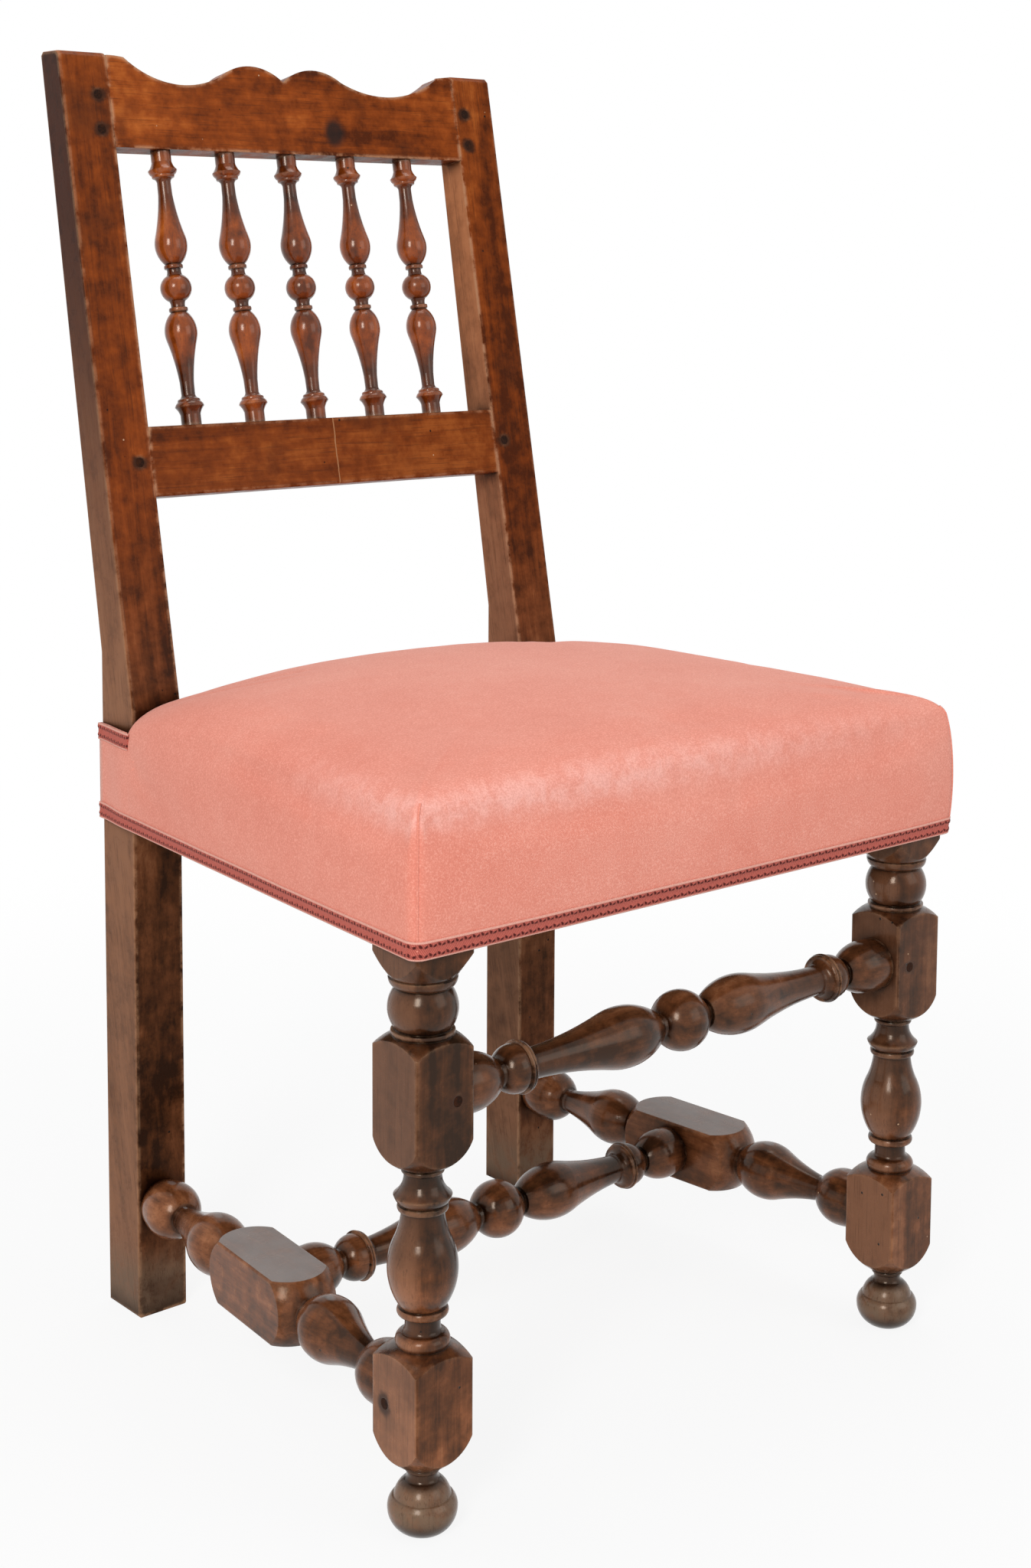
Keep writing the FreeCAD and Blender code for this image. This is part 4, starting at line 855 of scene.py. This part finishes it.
def braid_relief(along, across):
    """How far the braid's face stands out, from its length and its share of the height."""
    zigzag = abs((along * BRAID_TURNS) % 1.0 - 0.5)
    swing = (zigzag - 0.25) * 2 * BRAID_SWING
    edges = sum(ridge(across, middle, 0.06) for middle in BRAID_EDGES)
    cords = sum(ridge(across, middle + swing, 0.08) for middle in BRAID_LINES)
    return BRAID_DEPTH * (0.45 + 0.30 * edges + 0.50 * cords)


def lengths_along(path):
    """The length of a polyline of vectors up to each of its points."""
    lengths = [0.0]
    for before, after in zip(path, path[1:]):
        lengths.append(lengths[-1] + (after - before).length)
    return lengths


def spaced_along(path, count):
    """A number of points at even steps along a polyline of vectors."""
    lengths = lengths_along(path)
    at = np.linspace(0.0, lengths[-1], count)
    axes = [np.interp(at, lengths, values) for values in zip(*path)]
    return [Vector(point) for point in zip(*axes)]


def make_braid(name, lows, highs, material, *nodes):
    """A strip of braid between a low and a high line on the cover, on the left of the way it runs."""
    length = lengths_along(lows)[-1]
    count = max(2, round(length / BRAID_STEP)) + 1
    low_line = spaced_along(lows, count)
    high_line = spaced_along(highs, count)
    width = (high_line[0] - low_line[0]).length
    ring = BRAID_ROWS + 3
    points = []
    uvs = []
    for index, (foot, head) in enumerate(zip(low_line, high_line)):
        along = length * index / (count - 1) / width
        before = low_line[max(0, index - 1)]
        after = low_line[min(count - 1, index + 1)]
        out = (after - before).cross((head - foot).normalized()).normalized()
        for row in range(BRAID_ROWS + 1):
            across = row / BRAID_ROWS
            points.append(foot.lerp(head, across) + out * (BRAID_PROUD + braid_relief(along, across)))
            uvs.append((along, across))
        for across in (1.0, 0.0):
            points.append(foot.lerp(head, across) - out * BRAID_SUNK)
            uvs.append((along, across))
    faces = quads(count, ring, flipped=True)
    faces.append(tuple(range(ring)))
    faces.append(tuple(reversed(range((count - 1) * ring, count * ring))))
    strip = new_piece(name, points, faces, material)
    layer = strip.data.uv_layers.new(name="weave")
    for loop in strip.data.loops:
        layer.data[loop.index].uv = uvs[loop.vertex_index]
    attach(strip, "root")
    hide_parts(*nodes)


# Flaps: the seat's columns they are rooted in, counted from the post, and how far proud they stand there
FLAP_ROOTS = ((4, -0.5 * MM), (2, -0.15 * MM), (1, 0.1 * MM))
FLAP_ROOT_DROP = 3 * MM
FLAP_ROWS = 13
FLAP_STEPS = 9
FLAP_THICKNESS = SKIN - 0.3 * MM
FLAP_BRAID_SPOTS = 9
SIDES = ((1, "right"), (-1, "left"))
HEM_BRAID_LIFT = 0.2 * MM
HEM_BRAID_SPOTS = np.linspace(NOTCH_Y + 3 * MM, REAR_Y - 0.5 * MM, 5)


def at_height(column, z):
    """Where a column of points crosses a height."""
    xs, ys, heights = zip(*column)
    return Vector((np.interp(z, heights, xs), np.interp(z, heights, ys), z))


def flap_point(column, side, y, z):
    """A point of the flap that goes on from the seat's side over the post's outer face."""
    start = at_height(column, z)
    share = (y - start.y) / (REAR_Y - start.y)
    flat = side * (-POST_LOW.x + SKIN)
    ease = share * share * (3 - 2 * share)
    return Vector((start.x + (flat - start.x) * ease, y, z))


def make_flap(name, side, roots, material):
    """The part of the cover that wraps a rear post's outer face, rooted in the seat's side before it."""
    top = FLAP_HIGH.z
    column = roots[-1]
    points = []
    for root, (back, proud) in zip(roots, FLAP_ROOTS):
        root_top = min(top, root[-1].z - FLAP_ROOT_DROP)
        for z in np.linspace(HEM_Z, root_top, FLAP_ROWS):
            points.append(at_height(root, z) + Vector((side * proud, 0.0, 0.0)))
    for step in range(1, FLAP_STEPS + 1):
        for z in np.linspace(HEM_Z, top, FLAP_ROWS):
            start = at_height(column, z).y
            points.append(flap_point(column, side, start + (REAR_Y - start) * step / FLAP_STEPS, z))
    faces = quads(len(points) // FLAP_ROWS, FLAP_ROWS, closed=False, flipped=True)
    if side < 0:
        faces = [face[::-1] for face in faces]
    flap = new_piece(name, points, faces, material)
    thick = flap.modifiers.new("thick", "SOLIDIFY")
    thick.thickness = FLAP_THICKNESS
    thick.offset = -1
    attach(flap, "root")
    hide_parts("seat_cover")


def dress_seat():
    """Seat, flaps, braid and corner seams."""
    cloth = velvet("salmon_velvet")
    braid = gimp("gimp_braid")
    parts, walls, edges = make_seat(cloth)
    columns = len(parts)
    side_columns = {}
    for side, word in SIDES:
        notch = next(index for index in range(columns)[::side] if parts[index] == "notch")
        roots = [walls[(notch - side * back) % columns] for back, proud in FLAP_ROOTS]
        make_flap("cover_flap_" + word, side, roots, cloth)
        column = roots[-1]
        side_columns[side] = column
        start = at_height(column, FLAP_HIGH.z).y
        path = np.linspace(start, REAR_Y, FLAP_BRAID_SPOTS)
        lows, highs = ([flap_point(column, side, y, z) for y in path[::side]]
                       for z in (FLAP_LOW.z, FLAP_HIGH.z))
        make_braid("flap_braid_" + word, lows, highs, braid, "braid_post_" + word)
    make_hem_braid(parts, walls, side_columns, braid)
    for side, word in SIDES:
        make_seam("corner_seam_" + word, parts, edges, side, cloth)


def make_hem_braid(parts, walls, side_columns, material):
    """One length of braid along the left side, the front and the right side, and one across the rear."""
    half = len(parts) // 2
    outer = ("side", "corner", "front")
    order = [index for index in range(half - len(parts), half) if parts[index] in outer]
    rear = [index for index, part in enumerate(parts) if part == "rear"]
    hem_lines = []
    rear_lines = []
    for z in (BRAID_LOW.z + HEM_BRAID_LIFT, BRAID_HIGH.z):
        left, right = ([flap_point(side_columns[side], side, y, z) for y in HEM_BRAID_SPOTS]
                       for side in (-1, 1))
        middle = [at_height(walls[index], z) for index in order]
        hem_lines.append(left[::-1] + middle + right)
        rear_lines.append([at_height(walls[index], z) for index in rear])
    make_braid("hem_braid", *hem_lines, material, "braid_front", "braid_left", "braid_right")
    make_braid("rear_braid", *rear_lines, material, "braid_rear")


SEAM_SPOTS = 17
SEAM_RADIUS = 0.9 * MM


def make_seam(name, parts, edges, side, material):
    """The sewn seam down a front corner, as a thin raised fold."""
    corner = [index for index, part in enumerate(parts) if part == "corner"]
    count = len(corner) // 2
    bend = corner[:count] if side > 0 else corner[count:]
    spots = edges[bend[len(bend) // 2]][:SEAM_SPOTS]
    curve = bpy.data.curves.new("seam", "CURVE")
    curve.dimensions = "3D"
    curve.bevel_depth = SEAM_RADIUS
    curve.bevel_resolution = 3
    spline = curve.splines.new("POLY")
    spline.points.add(len(spots) - 1)
    for point, spot in zip(spline.points, spots):
        point.co = (*spot, 1.0)
    curve.materials.append(material)
    piece = add_object(name, curve)
    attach(piece, "root")


# Underside
STRAP_COUNT = 4
STRAP_WIDTH = 50 * MM
STRAP_THICKNESS = 1.6 * MM
STRAP_TACKED_IN = 13 * MM
STRAP_STEPS = 90
STRAP_WAVE = 0.25 * MM
BASE_THICKNESS = 0.5 * MM
BASE_DROP = 0.3 * MM
BASE_GAP = 0.3 * MM
BASE_POST_INSET = 10 * MM
BASE_RIPPLE = 0.2 * MM
BASE_RIPPLE_SCALE = 45.0
BASE_STEPS = 60
BASE_REAR_STEPS = 6


def make_straps(node, lengthwise, material):
    """Jute straps woven over and under each other, in one direction."""
    low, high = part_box(node)
    across_axis = 0 if lengthwise else 1
    along_axis = 1 - across_axis
    other_low, other_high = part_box("webbing_crosswise" if lengthwise else "webbing_lengthwise")
    pitch = (other_high[along_axis] - other_low[along_axis] - STRAP_WIDTH) / (STRAP_COUNT - 1)
    first = other_low[along_axis] + STRAP_WIDTH / 2
    middle_z = (low.z + high.z) / 2
    spacing = (high[across_axis] - low[across_axis] - STRAP_WIDTH) / (STRAP_COUNT - 1)
    names = []
    for number in range(STRAP_COUNT):
        near = low[across_axis] + spacing * number
        reach = half_width(near + STRAP_WIDTH) - STRAP_TACKED_IN
        start, end = (low.y, high.y) if lengthwise else (-reach, reach)
        points = []
        for along in np.linspace(start, end, STRAP_STEPS + 1):
            phase = math.cos(math.pi * ((along - first) / pitch + number))
            rise = middle_z + STRAP_WAVE * phase
            for across, lift in ((0.0, -0.5), (1.0, -0.5), (1.0, 0.5), (0.0, 0.5)):
                spot = [0.0, 0.0, rise + lift * STRAP_THICKNESS]
                spot[across_axis] = near + STRAP_WIDTH * across
                spot[along_axis] = along
                points.append(spot)
        faces = [(0, 1, 2, 3), tuple(range(STRAP_STEPS * 4 + 3, STRAP_STEPS * 4 - 1, -1))]
        faces += quads(STRAP_STEPS + 1, 4, flipped=True)
        strap = new_piece(f"{node}_{number + 1}", points, faces, material, smooth=False)
        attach(strap, "root")
        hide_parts(node)
        names.append(strap.name)
    return names


def make_base_cloth(material):
    """The hessian stretched over the webbing, cut round the rear posts."""
    low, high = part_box("base_cloth")
    post_half = -POST_LOW.x - BASE_POST_INSET
    notch_y = POST_LOW.y - BASE_GAP
    rows = []
    for step in range(BASE_STEPS + 1):
        share = step / BASE_STEPS
        rows.append((low.y + (notch_y - low.y) * share, high.x + (post_half - high.x) * share))
    for step in range(BASE_REAR_STEPS + 1):
        rows.append((POST_LOW.y + (high.y - POST_LOW.y) * step / BASE_REAR_STEPS, NOTCH_X))
    points = []
    for y, half in rows:
        for step in range(BASE_STEPS + 1):
            x = half * (2 * step / BASE_STEPS - 1)
            ripple = noise.noise(Vector((x, y, 0.0)) * BASE_RIPPLE_SCALE) * BASE_RIPPLE
            points.append((x, y, high.z - BASE_DROP + ripple))
    faces = quads(len(rows), BASE_STEPS + 1, closed=False)
    cloth = new_piece("base_hessian", points, faces, material)
    thick = cloth.modifiers.new("thick", "SOLIDIFY")
    thick.thickness = BASE_THICKNESS
    thick.offset = -1
    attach(cloth, "root")
    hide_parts("base_cloth")


def dress_underside():
    jute = woven("jute_webbing", (0.20, 0.13, 0.07), (0.46, 0.34, 0.20), 3.2 * MM)
    straps = make_straps("webbing_lengthwise", True, jute)
    straps += make_straps("webbing_crosswise", False, jute)
    make_base_cloth(woven("hessian", (0.24, 0.17, 0.10), (0.52, 0.41, 0.26), 2.0 * MM))


# Studio: the floor's half width, where its own white fades in about the chair, and the light of the sky
FLOOR_REACH = 6.0
FLOOR_FADE = (0.35, 1.5)
FLOOR_WHITE = (0.88, 1.0)
SKY_STRENGTH = 0.46


def make_camera():
    heading = math.radians(CAMERA_HEADING)
    dip = math.radians(CAMERA_DIP)
    roll = math.radians(CAMERA_ROLL)
    ahead = Vector((math.sin(heading) * math.cos(dip), math.cos(heading) * math.cos(dip), -math.sin(dip)))
    level = Vector((math.cos(heading), -math.sin(heading), 0.0))
    upright = level.cross(ahead)
    right = level * math.cos(roll) + upright * math.sin(roll)
    up = upright * math.cos(roll) - level * math.sin(roll)
    data = bpy.data.cameras.new("camera")
    data.sensor_width = SENSOR
    data.lens = FOCAL_PIXELS / PHOTO_HEIGHT * SENSOR
    data.shift_y = (AXIS_PIXEL_Y - PHOTO_HEIGHT / 2) / PHOTO_HEIGHT
    camera = add_object("camera", data)
    turn = Matrix((right, up, -ahead)).transposed().to_4x4()
    camera.matrix_world = Matrix.Translation(CAMERA_PLACE) @ turn
    bpy.context.scene.camera = camera


def add_lamp(name, spot, aim, size, watts, colour):
    data = bpy.data.lights.new(name, "AREA")
    data.shape = "RECTANGLE"
    data.size, data.size_y = size
    data.energy = watts
    data.color = colour
    lamp = add_object(name, data)
    lamp.location = spot
    lamp.rotation_euler = (Vector(aim) - Vector(spot)).to_track_quat("-Z", "Y").to_euler()


def seen_directly(shade):
    """1 for rays from the camera, and for reflections and clear views of the background."""
    path = shade.add("LightPath")
    seen = shade.math("MAXIMUM", path.outputs["Is Camera Ray"], path.outputs["Is Glossy Ray"])
    return shade.math("MAXIMUM", seen, path.outputs["Is Transmission Ray"])


def make_floor():
    """A wide white floor that keeps a soft shadow, and is clear from below."""
    shade = Shade("white_floor")
    mottle = shade.noise(shade.place(), 3.0, 2.0)
    pale = shade.ramp(mottle, ((0.0, (0.80, 0.80, 0.80)), (1.0, (0.84, 0.84, 0.84))))
    paint = shade.add("BsdfDiffuse", {"Color": pale})
    glow = shade.add("Emission", {"Color": (1.0, 1.0, 1.0, 1.0), "Strength": 1.0})
    lit = shade.span(shade.vector("LENGTH", shade.place()), *FLOOR_FADE, *FLOOR_WHITE)
    share = shade.times(seen_directly(shade), lit)
    blend = shade.add("MixShader", {0: share, 1: paint.outputs[0], 2: glow.outputs[0]})
    clear = shade.add("BsdfTransparent")
    below = shade.add("NewGeometry").outputs["Backfacing"]
    sided = shade.add("MixShader", {0: below, 1: blend.outputs[0], 2: clear.outputs[0]})
    shade.add("OutputMaterial", {"Surface": sided.outputs[0]})
    corners = [(x * FLOOR_REACH, y * FLOOR_REACH, 0.0) for x, y in ((-1, -1), (1, -1), (1, 1), (-1, 1))]
    floor = new_piece("floor", corners, [(0, 1, 2, 3)], shade.material, smooth=False)


def make_world():
    """A dim even sky for the light, and plain white where the background is seen."""
    world = bpy.data.worlds.new("studio")
    world.use_nodes = True
    bpy.context.scene.world = world
    shade = Shade(world)
    ambient = shade.add("Background", {"Color": (0.95, 0.97, 1.0, 1.0), "Strength": SKY_STRENGTH})
    white = shade.add("Background", {"Color": (1.0, 1.0, 1.0, 1.0), "Strength": 1.0})
    blend = shade.add("MixShader", {0: seen_directly(shade), 1: ambient.outputs[0], 2: white.outputs[0]})
    shade.add("OutputWorld", {"Surface": blend.outputs[0]})


def make_studio():
    make_floor()
    make_world()
    add_lamp("key", (-2.5, -1.7, 2.0), (0.0, 0.0, 0.5), (0.8, 1.4), 60.0, (1.0, 0.98, 0.96))
    add_lamp("fill", (1.2, -2.9, 1.7), (0.0, 0.0, 0.5), (2.0, 2.0), 20.0, (0.98, 0.99, 1.0))
    add_lamp("top", (0.2, 0.4, 3.0), (0.0, 0.0, 0.4), (1.4, 1.4), 18.0, (1.0, 1.0, 1.0))
    bpy.context.scene.view_settings.view_transform = "Standard"


dress_woods()
dress_seat()
dress_underside()
make_camera()
make_studio()
